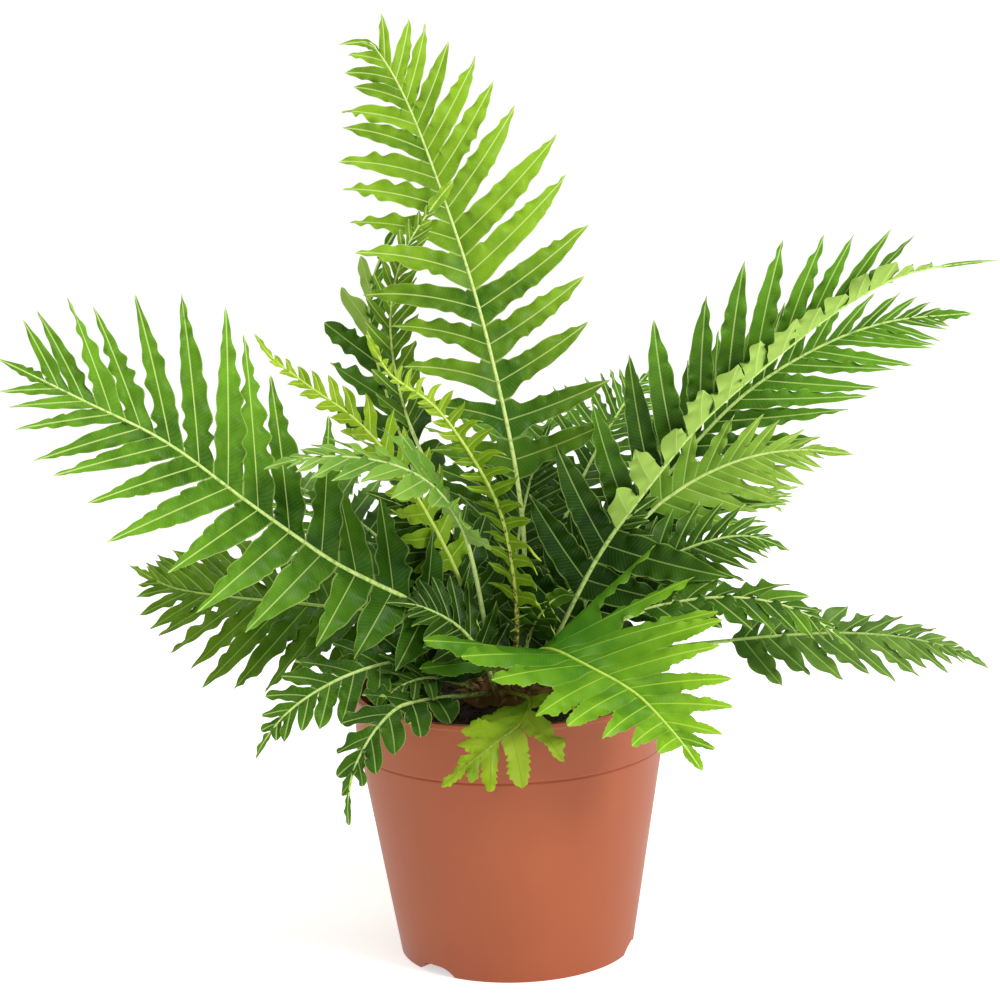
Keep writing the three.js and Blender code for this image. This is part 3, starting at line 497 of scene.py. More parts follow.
def rib_path(node, skeleton, scaly):
    """The rib's middle line, with its radius and where it bears scales."""
    mesh = bpy.data.meshes.new(f"{node}_path")
    count = len(skeleton.places)
    mesh.from_pydata(skeleton.places, [(k, k + 1) for k in range(count - 1)], [])
    shares = skeleton.along / skeleton.along[-1]
    values = {"radius": [*skeleton.radii, 0.0002], "age": shares,
              "scaly": np.clip(1 - skeleton.along / (scaly * MM), 0, 1)}
    for name, numbers in values.items():
        layer = mesh.attributes.new(name, "FLOAT", "POINT")
        layer.data.foreach_set("value", np.array(numbers, dtype=np.float32))
    return plain_object(f"{node}_path", mesh)


def leaflet_blank(steps):
    """A flat closed blade to be shaped: two sheets that share their margin, foot and tip."""
    lanes = (-1.0, -0.8, -0.5, -0.16, 0.0, 0.16, 0.5, 0.8, 1.0)
    mesh = bpy.data.meshes.new(f"leaflet_blank_{steps}")
    marks = []
    index = {}
    for sheet in (1, -1):
        for i in range(steps):
            for j, v in enumerate(lanes):
                shared = i == 0 or abs(v) == 1
                key = (0 if shared else sheet, i, j)
                if key not in index:
                    index[key] = len(marks)
                    marks.append((i / steps, v, float(key[0])))
    tip = len(marks)
    marks.append((1.0, 0.0, 0.0))

    def corner(sheet, i, j):
        return index[(0 if i == 0 or j in (0, len(lanes) - 1) else sheet, i, j)]

    faces = []
    # Both sheets are cut along the same diagonals, so that they never cross.
    for sheet in (1, -1):
        for j in range(len(lanes) - 1):
            for i in range(steps - 1):
                a, b = corner(sheet, i, j), corner(sheet, i + 1, j)
                c, d = corner(sheet, i + 1, j + 1), corner(sheet, i, j + 1)
                faces += [[a, b, c][::sheet], [a, c, d][::sheet]]
            faces.append([corner(sheet, steps - 1, j), tip, corner(sheet, steps - 1, j + 1)][::sheet])
    mesh.from_pydata([(u, v * 0.1, s * 0.01) for u, v, s in marks], [], faces)
    for k, name in enumerate(("u", "v", "sheet")):
        layer = mesh.attributes.new(name, "FLOAT", "POINT")
        layer.data.foreach_set("value", [mark[k] for mark in marks])
    mesh.shade_smooth()
    # The margin is a fold between the two sheets, which keep their own shading up to it.
    sharp = mesh.attributes.new("sharp_edge", "BOOLEAN", "EDGE")
    sharp.data.foreach_set("value", [all(marks[k][2] == 0 for k in edge.vertices) for edge in mesh.edges])
    return plain_object(mesh.name, mesh)


def scale_blank(name, length, width):
    """A thin pointed scale or hair: two long pyramids foot to foot, lying along X."""
    mesh = bpy.data.meshes.new(name)
    ring = [(0.35 * length, 0, width * 0.2), (0.35 * length, width, 0), (0.35 * length, 0, -width * 0.2),
            (0.35 * length, -width, 0)]
    lift = [(x, y, z + width * 0.3) for x, y, z in ring]
    points = [(0, 0, 0), *lift, (length, 0, width * 0.9)]
    faces = [f for k in range(4) for f in ((0, 1 + (k + 1) % 4, 1 + k), (5, 1 + k, 1 + (k + 1) % 4))]
    mesh.from_pydata(points, [], faces)
    shape = bmesh.new()
    shape.from_mesh(mesh)
    bmesh.ops.recalc_face_normals(shape, faces=shape.faces)
    shape.to_mesh(mesh)
    shape.free()
    return plain_object(name, mesh)


def new_tree(name, inputs):
    """An empty geometry tree with a geometry in and out and its named inputs."""
    tree = bpy.data.node_groups.new(name, "GeometryNodeTree")
    tree.interface.new_socket("Geometry", in_out="OUTPUT", socket_type="NodeSocketGeometry")
    tree.interface.new_socket("Geometry", in_out="INPUT", socket_type="NodeSocketGeometry")
    for label, (kind, value) in inputs.items():
        socket = tree.interface.new_socket(label, in_out="INPUT", socket_type=f"NodeSocket{kind}")
        if value is not None:
            socket.default_value = value
    return tree, add(tree, "NodeGroupInput").outputs


def set_inputs(modifier, values):
    """Sets a modifier's inputs by their identifiers."""
    for item in modifier.node_group.interface.items_tree:
        if item.in_out == "INPUT" and item.name in values:
            modifier[item.identifier] = values[item.name]


def quadratic(tree, first, second, third, u, square):
    """The vector first + second u + third u squared."""
    linear_part = add(tree, "ShaderNodeVectorMath", {0: second, 1: u, 2: first}, operation="MULTIPLY_ADD")
    return add(tree, "ShaderNodeVectorMath", {0: third, 1: square, 2: linear_part}, operation="MULTIPLY_ADD")


# Half outlines of a leaflet, as marks of length and width: a lance, a drawn-out tail, a blunt lobe.
OUTLINES = (
    ((0, 0.97), (0.12, 1), (0.34, 0.98), (0.55, 0.9), (0.72, 0.7), (0.86, 0.38), (0.94, 0.16), (1, 0)),
    ((0, 0.97), (0.12, 1), (0.3, 0.95), (0.46, 0.82), (0.6, 0.6), (0.72, 0.42), (0.84, 0.24), (0.94, 0.12),
     (1, 0)),
    ((0, 0.95), (0.2, 1), (0.5, 1), (0.7, 0.94), (0.84, 0.76), (0.93, 0.5), (0.98, 0.22), (1, 0)),
)


def leaflet_tree():
    """Shapes a blade at every point: its path, outline, waves, web, fold, thickness and tip."""
    tree, given = new_tree("Fern leaflets", {
        "Blank": ("Object", None), "Material": ("Material", None),
        "Full": ("Float", 0.9), "Blunt": ("Float", 0.0), "Tail": ("Float", 0.4), "Web": ("Float", 0.06),
        "Wave": ("Float", 0.0013), "Wave length": ("Float", 0.0135), "Ripple": ("Float", 0.16),
        "Tooth": ("Float", 0.0), "Tooth length": ("Float", 0.0032), "Hook": ("Float", 0.0),
        "Fold": ("Float", 0.16), "Thickness": ("Float", 0.00025),
    })
    blank = add(tree, "GeometryNodeObjectInfo", {"Object": given["Blank"]})
    placed = add(tree, "GeometryNodeInstanceOnPoints", {"Points": given["Geometry"],
                                                       "Instance": blank.outputs["Geometry"]})
    real = add(tree, "GeometryNodeRealizeInstances", {"Geometry": placed})
    f = {name: add(tree, "GeometryNodeInputNamedAttribute", {"Name": name}, data_type=kind)
         for kind, names in (("FLOAT_VECTOR", PATHS),
                             ("FLOAT", ("u", "v", "sheet", "half", "length", "age", "lobed", "chance")))
         for name in names}
    u, v = f["u"], f["v"]
    # The middle line and the blade's own directions along it.
    square = add(tree, "ShaderNodeMath", {0: u, 1: u}, operation="MULTIPLY")
    cube = add(tree, "ShaderNodeMath", {0: square, 1: u}, operation="MULTIPLY")
    middle = quadratic(tree, f["root"], f["reach"], f["bend"], u, square)
    twice = add(tree, "ShaderNodeMath", {0: u, 1: 2.0}, operation="MULTIPLY")
    heading = add(tree, "ShaderNodeVectorMath", {0: f["bend"], 1: twice, 2: f["reach"]},
                  operation="MULTIPLY_ADD")
    axis = add(tree, "ShaderNodeVectorMath", {0: heading}, operation="NORMALIZE")
    turned = add(tree, "ShaderNodeMapRange", {"Value": u, "From Max": RING_PLACES[1], "To Max": 1.0},
                 clamp=False)
    wide = add(tree, "ShaderNodeMix", {"Factor": turned, "A": f["wide_foot"], "B": f["wide_end"]},
               data_type="VECTOR", clamp_factor=False)
    square_on = add(tree, "ShaderNodeVectorMath", {0: wide, 1: axis}, operation="PROJECT")
    leaned = add(tree, "ShaderNodeVectorMath", {0: wide, 1: square_on}, operation="SUBTRACT")
    flat = add(tree, "ShaderNodeVectorMath", {0: leaned}, operation="NORMALIZE")
    # Each tip turns a little about its own line.
    centred = add(tree, "ShaderNodeMath", {0: f["chance"], 1: 0.5}, operation="SUBTRACT")
    spin = add(tree, "ShaderNodeMath", {0: centred, 1: 2.2}, operation="MULTIPLY")
    angle = add(tree, "ShaderNodeMath", {0: spin, 1: cube}, operation="MULTIPLY")
    across = add(tree, "ShaderNodeVectorRotate", {"Vector": flat, "Axis": axis, "Angle": angle})
    upper = add(tree, "ShaderNodeVectorMath", {0: axis, 1: across}, operation="CROSS_PRODUCT")
    # Outline: a pointed lance, drawn out to a tail, or blunt for the broad lobes.
    outlines = []
    for marks in OUTLINES:
        curve = add(tree, "ShaderNodeFloatCurve", {"Value": u})
        points = curve.mapping.curves[0].points
        points[0].location = marks[0]
        points[-1].location = marks[-1]
        for mark in marks[1:-1]:
            points.new(*mark)
        curve.mapping.update()
        outlines.append(curve)
    lance, drawn, round_end = outlines
    pointed = add(tree, "ShaderNodeMix", {"Factor": given["Tail"], "A": lance, "B": drawn})
    outline = add(tree, "ShaderNodeMix", {"Factor": given["Blunt"], "A": pointed, "B": round_end})
    # Uneven in and out ripple, different on the two margins, with teeth on it.
    sign = add(tree, "ShaderNodeMath", {0: v}, operation="SIGN")
    distance = add(tree, "ShaderNodeMath", {0: u, 1: f["length"]}, operation="MULTIPLY")
    shorter = add(tree, "ShaderNodeMix", {"Factor": f["lobed"], "A": given["Wave length"], "B": 0.007})
    turns = add(tree, "ShaderNodeMath", {0: distance, 1: shorter}, operation="DIVIDE")
    start = add(tree, "ShaderNodeMath", {0: f["chance"], 1: 97.0, 2: turns}, operation="MULTIPLY_ADD")
    chosen = add(tree, "ShaderNodeCombineXYZ", {0: start, 1: sign, 2: f["length"]})
    uneven = add(tree, "ShaderNodeTexNoise", {"Vector": chosen, "Scale": 0.6, "Detail": 0.0})
    stronger = add(tree, "ShaderNodeTexNoise", {"Vector": chosen, "Scale": 0.37, "Detail": 0.0})
    amount = add(tree, "ShaderNodeMapRange", {"Value": stronger.outputs["Fac"], "From Min": 0.35,
                                              "From Max": 0.65, "To Min": 0.35, "To Max": 1.4})
    wander = add(tree, "ShaderNodeMath", {0: uneven.outputs["Fac"], 1: 9.0}, operation="MULTIPLY")
    phase = add(tree, "ShaderNodeMath", {0: start, 1: 2 * math.pi, 2: wander}, operation="MULTIPLY_ADD")
    sine = add(tree, "ShaderNodeMath", {0: phase}, operation="SINE")
    cosine = add(tree, "ShaderNodeMath", {0: phase}, operation="COSINE")
    swing = add(tree, "ShaderNodeMath", {0: sine, 1: amount}, operation="MULTIPLY")
    quarter = add(tree, "ShaderNodeMath", {0: cosine, 1: amount}, operation="MULTIPLY")
    teeth = add(tree, "ShaderNodeMath", {0: distance, 1: given["Tooth length"]}, operation="DIVIDE")
    saw = add(tree, "ShaderNodeMath", {0: teeth}, operation="FRACT")
    tooth = add(tree, "ShaderNodeMath", {0: saw, 1: given["Tooth"]}, operation="MULTIPLY")
    loose = add(tree, "ShaderNodeMath", {0: swing, 1: given["Ripple"], 2: tooth}, operation="MULTIPLY_ADD")
    narrow = add(tree, "ShaderNodeMath", {0: outline}, operation="SQRT")
    rippled = add(tree, "ShaderNodeMath", {0: loose, 1: narrow}, operation="MULTIPLY")
    wavy = add(tree, "ShaderNodeMath", {0: outline, 1: given["Full"], 2: rippled}, operation="MULTIPLY_ADD")
    # The end lobe widens slowly out of the rib.
    opened = add(tree, "ShaderNodeMapRange", {"Value": u, "From Max": 0.25, "To Min": 0.4},
                 interpolation_type="SMOOTHSTEP")
    swell = add(tree, "ShaderNodeMix", {"Factor": f["lobed"], "A": 1.0, "B": opened})
    share = add(tree, "ShaderNodeMath", {0: wavy, 1: swell}, operation="MULTIPLY")
    least = add(tree, "ShaderNodeMath", {0: share, 1: 0.05}, operation="MAXIMUM")
    half = add(tree, "ShaderNodeMath", {0: least, 1: f["half"]}, operation="MULTIPLY")
    reach = add(tree, "ShaderNodeMath", {0: half, 1: v}, operation="MULTIPLY")
    free = add(tree, "ShaderNodeVectorMath", {0: across, "Scale": reach}, operation="SCALE")
    # The foot runs along the rib, and the web joins it to the leaflets before and behind it.
    before = quadratic(tree, f["before_root"], f["before_reach"], f["before_bend"], u, square)
    behind = quadratic(tree, f["behind_root"], f["behind_reach"], f["behind_bend"], u, square)
    ahead = add(tree, "FunctionNodeCompare", {0: v, 1: 0.0}, operation="GREATER_THAN", data_type="FLOAT")
    nearer = add(tree, "GeometryNodeSwitch", {"Switch": ahead, "False": behind, "True": before},
                 input_type="VECTOR")
    spread = add(tree, "ShaderNodeMath", {0: v}, operation="ABSOLUTE")
    webbed = add(tree, "ShaderNodeVectorMath", {0: nearer, "Scale": spread}, operation="SCALE")
    held = add(tree, "ShaderNodeMath", {0: f["lobed"], 1: -1.0, 2: given["Web"]}, operation="MULTIPLY_ADD")
    web = add(tree, "ShaderNodeMath", {0: centred, 1: 0.1, 2: held}, operation="MULTIPLY_ADD")
    let_go = add(tree, "ShaderNodeMath", {0: web, 1: 0.12}, operation="ADD")
    freed = add(tree, "ShaderNodeMapRange", {"Value": u, "From Min": web, "From Max": let_go},
                interpolation_type="SMOOTHSTEP")
    aside = add(tree, "ShaderNodeMix", {"Factor": freed, "A": webbed, "B": free}, data_type="VECTOR")
    # Up and down: margins wave, the blade folds a little along its midrib, and hooks curl up.
    bulge = add(tree, "ShaderNodeMath", {0: v, 1: v}, operation="MULTIPLY")
    wave = add(tree, "ShaderNodeMath", {0: quarter, 1: bulge}, operation="MULTIPLY")
    room = add(tree, "ShaderNodeMapRange", {"Value": f["half"], "From Max": 0.006, "To Max": 1.0})
    fade = add(tree, "ShaderNodeMath", {0: room, 1: narrow}, operation="MULTIPLY")
    faded = add(tree, "ShaderNodeMath", {0: wave, 1: fade}, operation="MULTIPLY")
    loose_wave = add(tree, "ShaderNodeMath", {0: faded, 1: freed}, operation="MULTIPLY")
    offset = add(tree, "ShaderNodeVectorMath", {0: aside}, operation="LENGTH")
    rising = add(tree, "ShaderNodeMapRange", {"Value": u, "From Min": 0.04, "From Max": 0.22},
                 interpolation_type="SMOOTHSTEP")
    raised = add(tree, "ShaderNodeMath", {0: offset, 1: rising}, operation="MULTIPLY")
    fold = add(tree, "ShaderNodeMath", {0: raised, 1: given["Fold"]}, operation="MULTIPLY")
    high = add(tree, "ShaderNodeMath", {0: loose_wave, 1: given["Wave"], 2: fold}, operation="MULTIPLY_ADD")
    hooked = add(tree, "ShaderNodeMath", {0: cube, 1: f["length"]}, operation="MULTIPLY")
    higher = add(tree, "ShaderNodeMath", {0: hooked, 1: given["Hook"], 2: high}, operation="MULTIPLY_ADD")
    # Thickness: full at the middle and nothing at the margin, with the midrib proud below.
    thick = add(tree, "ShaderNodeMath", {0: f["sheet"], 1: given["Thickness"]}, operation="MULTIPLY")
    centre = add(tree, "ShaderNodeMapRange", {"Value": spread, "From Min": 0.1, "From Max": 0.0})
    slim = add(tree, "ShaderNodeMath", {0: centre, 1: outline}, operation="MULTIPLY")
    keel = add(tree, "ShaderNodeMath", {0: slim, 1: -0.00035, 2: thick}, operation="MULTIPLY_ADD")
    height = add(tree, "ShaderNodeMath", {0: higher, 1: keel}, operation="ADD")
    up = add(tree, "ShaderNodeVectorMath", {0: upper, 1: height, 2: aside}, operation="MULTIPLY_ADD")
    place = add(tree, "ShaderNodeVectorMath", {0: middle, 1: up}, operation="ADD")
    # What the blade's material reads: millimetres along and across, and what kind of blade it is.
    along = add(tree, "ShaderNodeMath", {0: distance, 1: 1000.0}, operation="MULTIPLY")
    aside_mm = add(tree, "ShaderNodeMath", {0: offset, 1: 1000.0}, operation="MULTIPLY")
    blade = add(tree, "ShaderNodeCombineXYZ", {0: along, 1: aside_mm, 2: v})
    nature = add(tree, "ShaderNodeCombineXYZ", {0: f["chance"], 1: f["age"], 2: f["sheet"]})
    kept = add(tree, "GeometryNodeStoreNamedAttribute", {"Geometry": real, "Name": "blade", "Value": blade},
               data_type="FLOAT_VECTOR")
    known = add(tree, "GeometryNodeStoreNamedAttribute", {"Geometry": kept, "Name": "nature",
                                                          "Value": nature}, data_type="FLOAT_VECTOR")
    moved = add(tree, "GeometryNodeSetPosition", {"Geometry": known, "Position": place})
    done = add(tree, "GeometryNodeSetMaterial", {"Geometry": moved, "Material": given["Material"]})
    add(tree, "NodeGroupOutput", {0: done})
    return tree


def rib_tree():
    """Turns a rib's line into a tapering stalk, with scales at its foot and fine hairs above."""
    tree, given = new_tree("Fern rib", {
        "Material": ("Material", None), "Scale": ("Object", None), "Hair": ("Object", None),
        "Scale material": ("Material", None), "Scale density": ("Float", 160000.0),
        "Hair density": ("Float", 60000.0), "Sides": ("Int", 10), "Seed": ("Int", 0),
    })
    line = add(tree, "GeometryNodeMeshToCurve", {"Mesh": given["Geometry"]})
    smooth = add(tree, "GeometryNodeCurveSplineType", {"Curve": line}, spline_type="CATMULL_ROM")
    finer = add(tree, "GeometryNodeResampleCurve", {"Curve": smooth, "Count": 110})
    radius = add(tree, "GeometryNodeInputNamedAttribute", {"Name": "radius"}, data_type="FLOAT")
    age = add(tree, "GeometryNodeInputNamedAttribute", {"Name": "age"}, data_type="FLOAT")
    scaly = add(tree, "GeometryNodeInputNamedAttribute", {"Name": "scaly"}, data_type="FLOAT")
    tangent = add(tree, "GeometryNodeInputTangent")
    marked = add(tree, "GeometryNodeStoreNamedAttribute", {"Geometry": finer, "Name": "heading",
                                                           "Value": tangent}, data_type="FLOAT_VECTOR")
    nature = add(tree, "ShaderNodeCombineXYZ", {0: 0.5, 1: age, 2: 0.0})
    known = add(tree, "GeometryNodeStoreNamedAttribute", {"Geometry": marked, "Name": "nature",
                                                          "Value": nature}, data_type="FLOAT_VECTOR")
    ring = add(tree, "GeometryNodeCurvePrimitiveCircle", {"Resolution": given["Sides"], "Radius": 1.0})
    tube = add(tree, "GeometryNodeCurveToMesh", {"Curve": known, "Profile Curve": ring.outputs["Curve"],
                                                "Scale": radius, "Fill Caps": True})
    plain = add(tree, "GeometryNodeSetMaterial", {"Geometry": tube, "Material": given["Material"]})
    shaded = add(tree, "GeometryNodeSetShadeSmooth", {"Geometry": plain})
    # Scales stand close at the foot; hairs are sparse and go on almost to the tip.
    few = add(tree, "ShaderNodeMath", {0: scaly, 1: given["Scale density"]}, operation="MULTIPLY")
    bare = add(tree, "ShaderNodeMapRange", {"Value": age, "From Min": 0.9, "From Max": 0.5})
    some = add(tree, "ShaderNodeMath", {0: bare, 1: given["Hair density"]}, operation="MULTIPLY")
    grown = []
    for part, density, seed in (("Scale", few, 1), ("Hair", some, 2)):
        own_seed = add(tree, "ShaderNodeMath", {0: given["Seed"], 1: float(seed)}, operation="ADD")
        dots = add(tree, "GeometryNodeDistributePointsOnFaces", {"Mesh": tube, "Density": density,
                                                                "Seed": own_seed})
        heading = add(tree, "GeometryNodeInputNamedAttribute", {"Name": "heading"}, data_type="FLOAT_VECTOR")
        stand = add(tree, "FunctionNodeAlignRotationToVector", {"Vector": dots.outputs["Normal"]}, axis="Z")
        point = add(tree, "FunctionNodeAlignRotationToVector", {"Rotation": stand, "Vector": heading},
                    axis="X", pivot_axis="Z")
        info = add(tree, "GeometryNodeObjectInfo", {"Object": given[part]})
        size = add(tree, "FunctionNodeRandomValue", {"Min": 0.5, "Max": 1.2, "Seed": seed}, data_type="FLOAT")
        copies = add(tree, "GeometryNodeInstanceOnPoints", {"Points": dots.outputs["Points"],
                                                           "Instance": info.outputs["Geometry"],
                                                           "Rotation": point, "Scale": size})
        grown.append(add(tree, "GeometryNodeRealizeInstances", {"Geometry": copies}))
    brown = add(tree, "GeometryNodeSetMaterial", {"Geometry": grown[0], "Material": given["Scale material"]})
    downy = add(tree, "GeometryNodeSetMaterial", {"Geometry": grown[1], "Material": given["Material"]})
    joined = tree.nodes.new("GeometryNodeJoinGeometry")
    for part in (shaded, brown, downy):
        tree.links.new(part.outputs[0], joined.inputs[0])
    add(tree, "NodeGroupOutput", {0: joined})
    return tree


def scatter_tree():
    """Scatters copies of a small shape over the upper side of a piece, sized and turned by chance."""
    tree, given = new_tree("Scatter", {
        "Shape": ("Object", None), "Material": ("Material", None), "Density": ("Float", 60000.0),
        "Smallest": ("Float", 0.4), "Largest": ("Float", 1.3), "Tumble": ("Float", 3.1), "Seed": ("Int", 5),
    })
    normal = add(tree, "GeometryNodeInputNormal")
    way = add(tree, "ShaderNodeSeparateXYZ", {0: normal})
    top = add(tree, "FunctionNodeCompare", {0: way.outputs["Z"], 1: 0.1}, operation="GREATER_THAN",
              data_type="FLOAT")
    dots = add(tree, "GeometryNodeDistributePointsOnFaces", {
        "Mesh": given["Geometry"], "Selection": top, "Density": given["Density"], "Seed": given["Seed"]})
    low = add(tree, "ShaderNodeCombineXYZ", {0: -0.5, 1: -0.5, 2: -3.14})
    lean = add(tree, "ShaderNodeVectorMath", {0: low, "Scale": given["Tumble"]}, operation="SCALE")
    other = add(tree, "ShaderNodeVectorMath", {0: lean, "Scale": -1.0}, operation="SCALE")
    turn = add(tree, "FunctionNodeRandomValue", {"Min": lean, "Max": other, "Seed": given["Seed"]},
               data_type="FLOAT_VECTOR")
    twist = add(tree, "FunctionNodeEulerToRotation", {0: turn})
    stand = add(tree, "FunctionNodeRotateRotation", {0: dots.outputs["Rotation"], 1: twist},
                rotation_space="LOCAL")
    size = add(tree, "FunctionNodeRandomValue", {"Min": given["Smallest"], "Max": given["Largest"],
                                                 "Seed": given["Seed"]}, data_type="FLOAT")
    info = add(tree, "GeometryNodeObjectInfo", {"Object": given["Shape"]})
    copies = add(tree, "GeometryNodeInstanceOnPoints", {"Points": dots.outputs["Points"],
                                                       "Instance": info.outputs["Geometry"],
                                                       "Rotation": stand, "Scale": size})
    real = add(tree, "GeometryNodeRealizeInstances", {"Geometry": copies})
    done = add(tree, "GeometryNodeSetMaterial", {"Geometry": real, "Material": given["Material"]})
    add(tree, "NodeGroupOutput", {0: done})
    return tree


def applied(piece, tree, values):
    """Runs a geometry tree on an object and returns the plain mesh, without the modifier."""
    modifier = piece.modifiers.new(tree.name, "NODES")
    modifier.node_group = tree
    set_inputs(modifier, values)
    bpy.context.view_layer.update()
    graph = bpy.context.evaluated_depsgraph_get()
    mesh = bpy.data.meshes.new_from_object(piece.evaluated_get(graph), depsgraph=graph)
    piece.modifiers.remove(modifier)
    return mesh


def joined(name, meshes):
    """One piece of several plain meshes, each with its own materials."""
    parts = [plain_object(f"{name}_{k}", mesh) for k, mesh in enumerate(meshes)]
    with bpy.context.temp_override(active_object=parts[0], selected_editable_objects=parts):
        bpy.ops.object.join()
    parts[0].name = name
    parts[0].data.name = name
    return parts[0]


def turned_mesh(name, profile, sides):
    """A profile of (radius, height) points turned about the pot's axis, closed at its poles."""
    shape = bmesh.new()
    rings = []
    for radius, height in profile:
        if radius == 0:
            rings.append([shape.verts.new((0, 0, height))])
            continue
        turns = (2 * math.pi * k / sides for k in range(sides))
        rings.append([shape.verts.new((radius * math.cos(a), radius * math.sin(a), height)) for a in turns])
    for low, high in zip(rings, rings[1:]):
        for k in range(sides):
            n = (k + 1) % sides
            corners = [low[k % len(low)], low[n % len(low)], high[n % len(high)], high[k % len(high)]]
            shape.faces.new(dict.fromkeys(corners))
    bmesh.ops.recalc_face_normals(shape, faces=shape.faces)
    mesh = bpy.data.meshes.new(name)
    shape.to_mesh(mesh)
    shape.free()
    return mesh


def rounded(profile, radius, steps=4):
    """A profile with each of its inner corners rounded off."""
    out = [profile[0]]
    for before, here, after in zip(profile, profile[1:], profile[2:]):
        a, b, c = Vector(before), Vector(here), Vector(after)
        cut = min(radius, (a - b).length * 0.45, (c - b).length * 0.45)
        p, q = b + (a - b).normalized() * cut, b + (c - b).normalized() * cut
        for k in range(steps + 1):
            t = k / steps
            out.append(tuple(p.lerp(b, t).lerp(b.lerp(q, t), t)))
    out.append(profile[-1])
    return out


class FernLeafSizes(bpy.types.PropertyGroup):
    thickness: bpy.props.FloatProperty(name="Thickness", description="Thickness of a blade at its middle",
                                       default=0.0005, unit="LENGTH")
    wave_length: bpy.props.FloatProperty(name="Wave length", description="Length of one wave of a margin",
                                         default=0.012, unit="LENGTH")
    fold: bpy.props.FloatProperty(name="Fold", description="How far a blade folds up along its midrib",
                                  default=0.22, subtype="FACTOR")
    seed: bpy.props.IntProperty(name="Seed", description="Seed of all chance in the leaves", default=11)


class FernPotLook(bpy.types.PropertyGroup):
    height: bpy.props.FloatProperty(name="Height", description="Height of the pot", default=0.146,
                                    unit="LENGTH")
    rim: bpy.props.FloatProperty(name="Rim radius", description="Radius of the rim", default=0.085,
                                 unit="LENGTH")
    foot: bpy.props.FloatProperty(name="Foot radius", description="Radius of the foot", default=0.0635,
                                  unit="LENGTH")
    band: bpy.props.FloatProperty(name="Band", description="Height of the rim band", default=0.031,
                                  unit="LENGTH")
    wall: bpy.props.FloatProperty(name="Wall", description="Thickness of the wall", default=0.0018,
                                  unit="LENGTH")
    colour: bpy.props.FloatVectorProperty(name="Colour", description="Colour of the plastic", size=4,
                                          default=linear("#A55835"), subtype="COLOR")
    shade: bpy.props.FloatVectorProperty(name="Shade", description="Colour of its darker patches", size=4,
                                         default=linear("#984B2B"), subtype="COLOR")


class FernSoilSizes(bpy.types.PropertyGroup):
    top: bpy.props.FloatProperty(name="Top", description="Height of the soil at the wall", default=0.131,
                                 unit="LENGTH")
    mound: bpy.props.FloatProperty(name="Mound", description="Rise of the soil to its middle", default=0.008,
                                   unit="LENGTH")
    crumbs: bpy.props.FloatProperty(name="Crumbs", description="Crumbs of peat on a square metre",
                                    default=90000.0)


class FernStageLook(bpy.types.PropertyGroup):
    floor: bpy.props.FloatProperty(name="Floor", description="Half the width of the floor", default=10.0,
                                   unit="LENGTH")
    camera: bpy.props.FloatVectorProperty(name="Camera", description="Where the camera stands",
                                          default=(-0.002, -1.45, 0.52), subtype="TRANSLATION")
    pitch: bpy.props.FloatProperty(name="Pitch", description="How far the camera looks down",
                                   default=math.radians(10.63), subtype="ANGLE")
    roll: bpy.props.FloatProperty(name="Roll", description="How far the picture is turned",
                                  default=math.radians(1.8), subtype="ANGLE")
    lens: bpy.props.FloatProperty(name="Lens", description="Focal length of the camera in mm", default=99.4)


# The habits that the leaflets' tree takes as they are.
AS_GIVEN = ("full", "blunt", "tail", "web", "ripple", "tooth", "hook")


class FERN_OT_fronds(bpy.types.Operator):
    """Grow every frond: rib, leaflets, scales and hairs"""

    bl_idname = "fern.fronds"
    bl_label = "Fronds"

    def execute(self, context):
        sizes = context.scene.fern_leaves
        chances = np.random.default_rng(sizes.seed)
        leaves, ribs = leaflet_tree(), rib_tree()
        scale = scale_blank("stalk_scale", 2.6 * MM, 0.5 * MM)
        hair = scale_blank("rib_hair", 1.6 * MM, 0.13 * MM)
        blades, stalks, blanks = {}, {}, {}
        dry = papery_scale()
        for n, node in enumerate(frond_nodes()):
            slot = slot_of(node)
            habit = {**USUAL, **HABITS.get(node, {})}
            steps, green = habit["steps"], habit.get("green", slot)
            if green not in blades:
                blades[green], stalks[green] = leaf_blade(green), leaf_stalk(green)
            if steps not in blanks:
                blanks[steps] = leaflet_blank(steps)
            skeleton = Skeleton(node, habit)
            points = leaflet_points(node, skeleton, chances)
            path = rib_path(node, skeleton, habit["scaly"])
            blade = applied(points, leaves, {
                **{name.capitalize(): habit[name] for name in AS_GIVEN},
                "Blank": blanks[steps], "Material": blades[green], "Wave": habit["wave"] * MM,
                "Wave length": sizes.wave_length, "Fold": sizes.fold * habit["fold"],
                "Thickness": sizes.thickness / 2,
            })
            rib = applied(path, ribs, {
                "Material": stalks[green], "Scale": scale, "Hair": hair, "Scale material": dry,
                "Scale density": habit["scales"], "Seed": sizes.seed + 3 * n,
            })
            bpy.data.objects.remove(points)
            bpy.data.objects.remove(path)
            piece = joined(f"leafy_{node}", [blade, rib])
            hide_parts(node)
            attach(piece, "root")
        for blank in (scale, hair, *blanks.values()):
            bpy.data.objects.remove(blank)
        return {"FINISHED"}


# Where the notches stand around the foot, in degrees from +X: one shows at the left in the photo.
NOTCH_TURNS = (226, 346, 466)


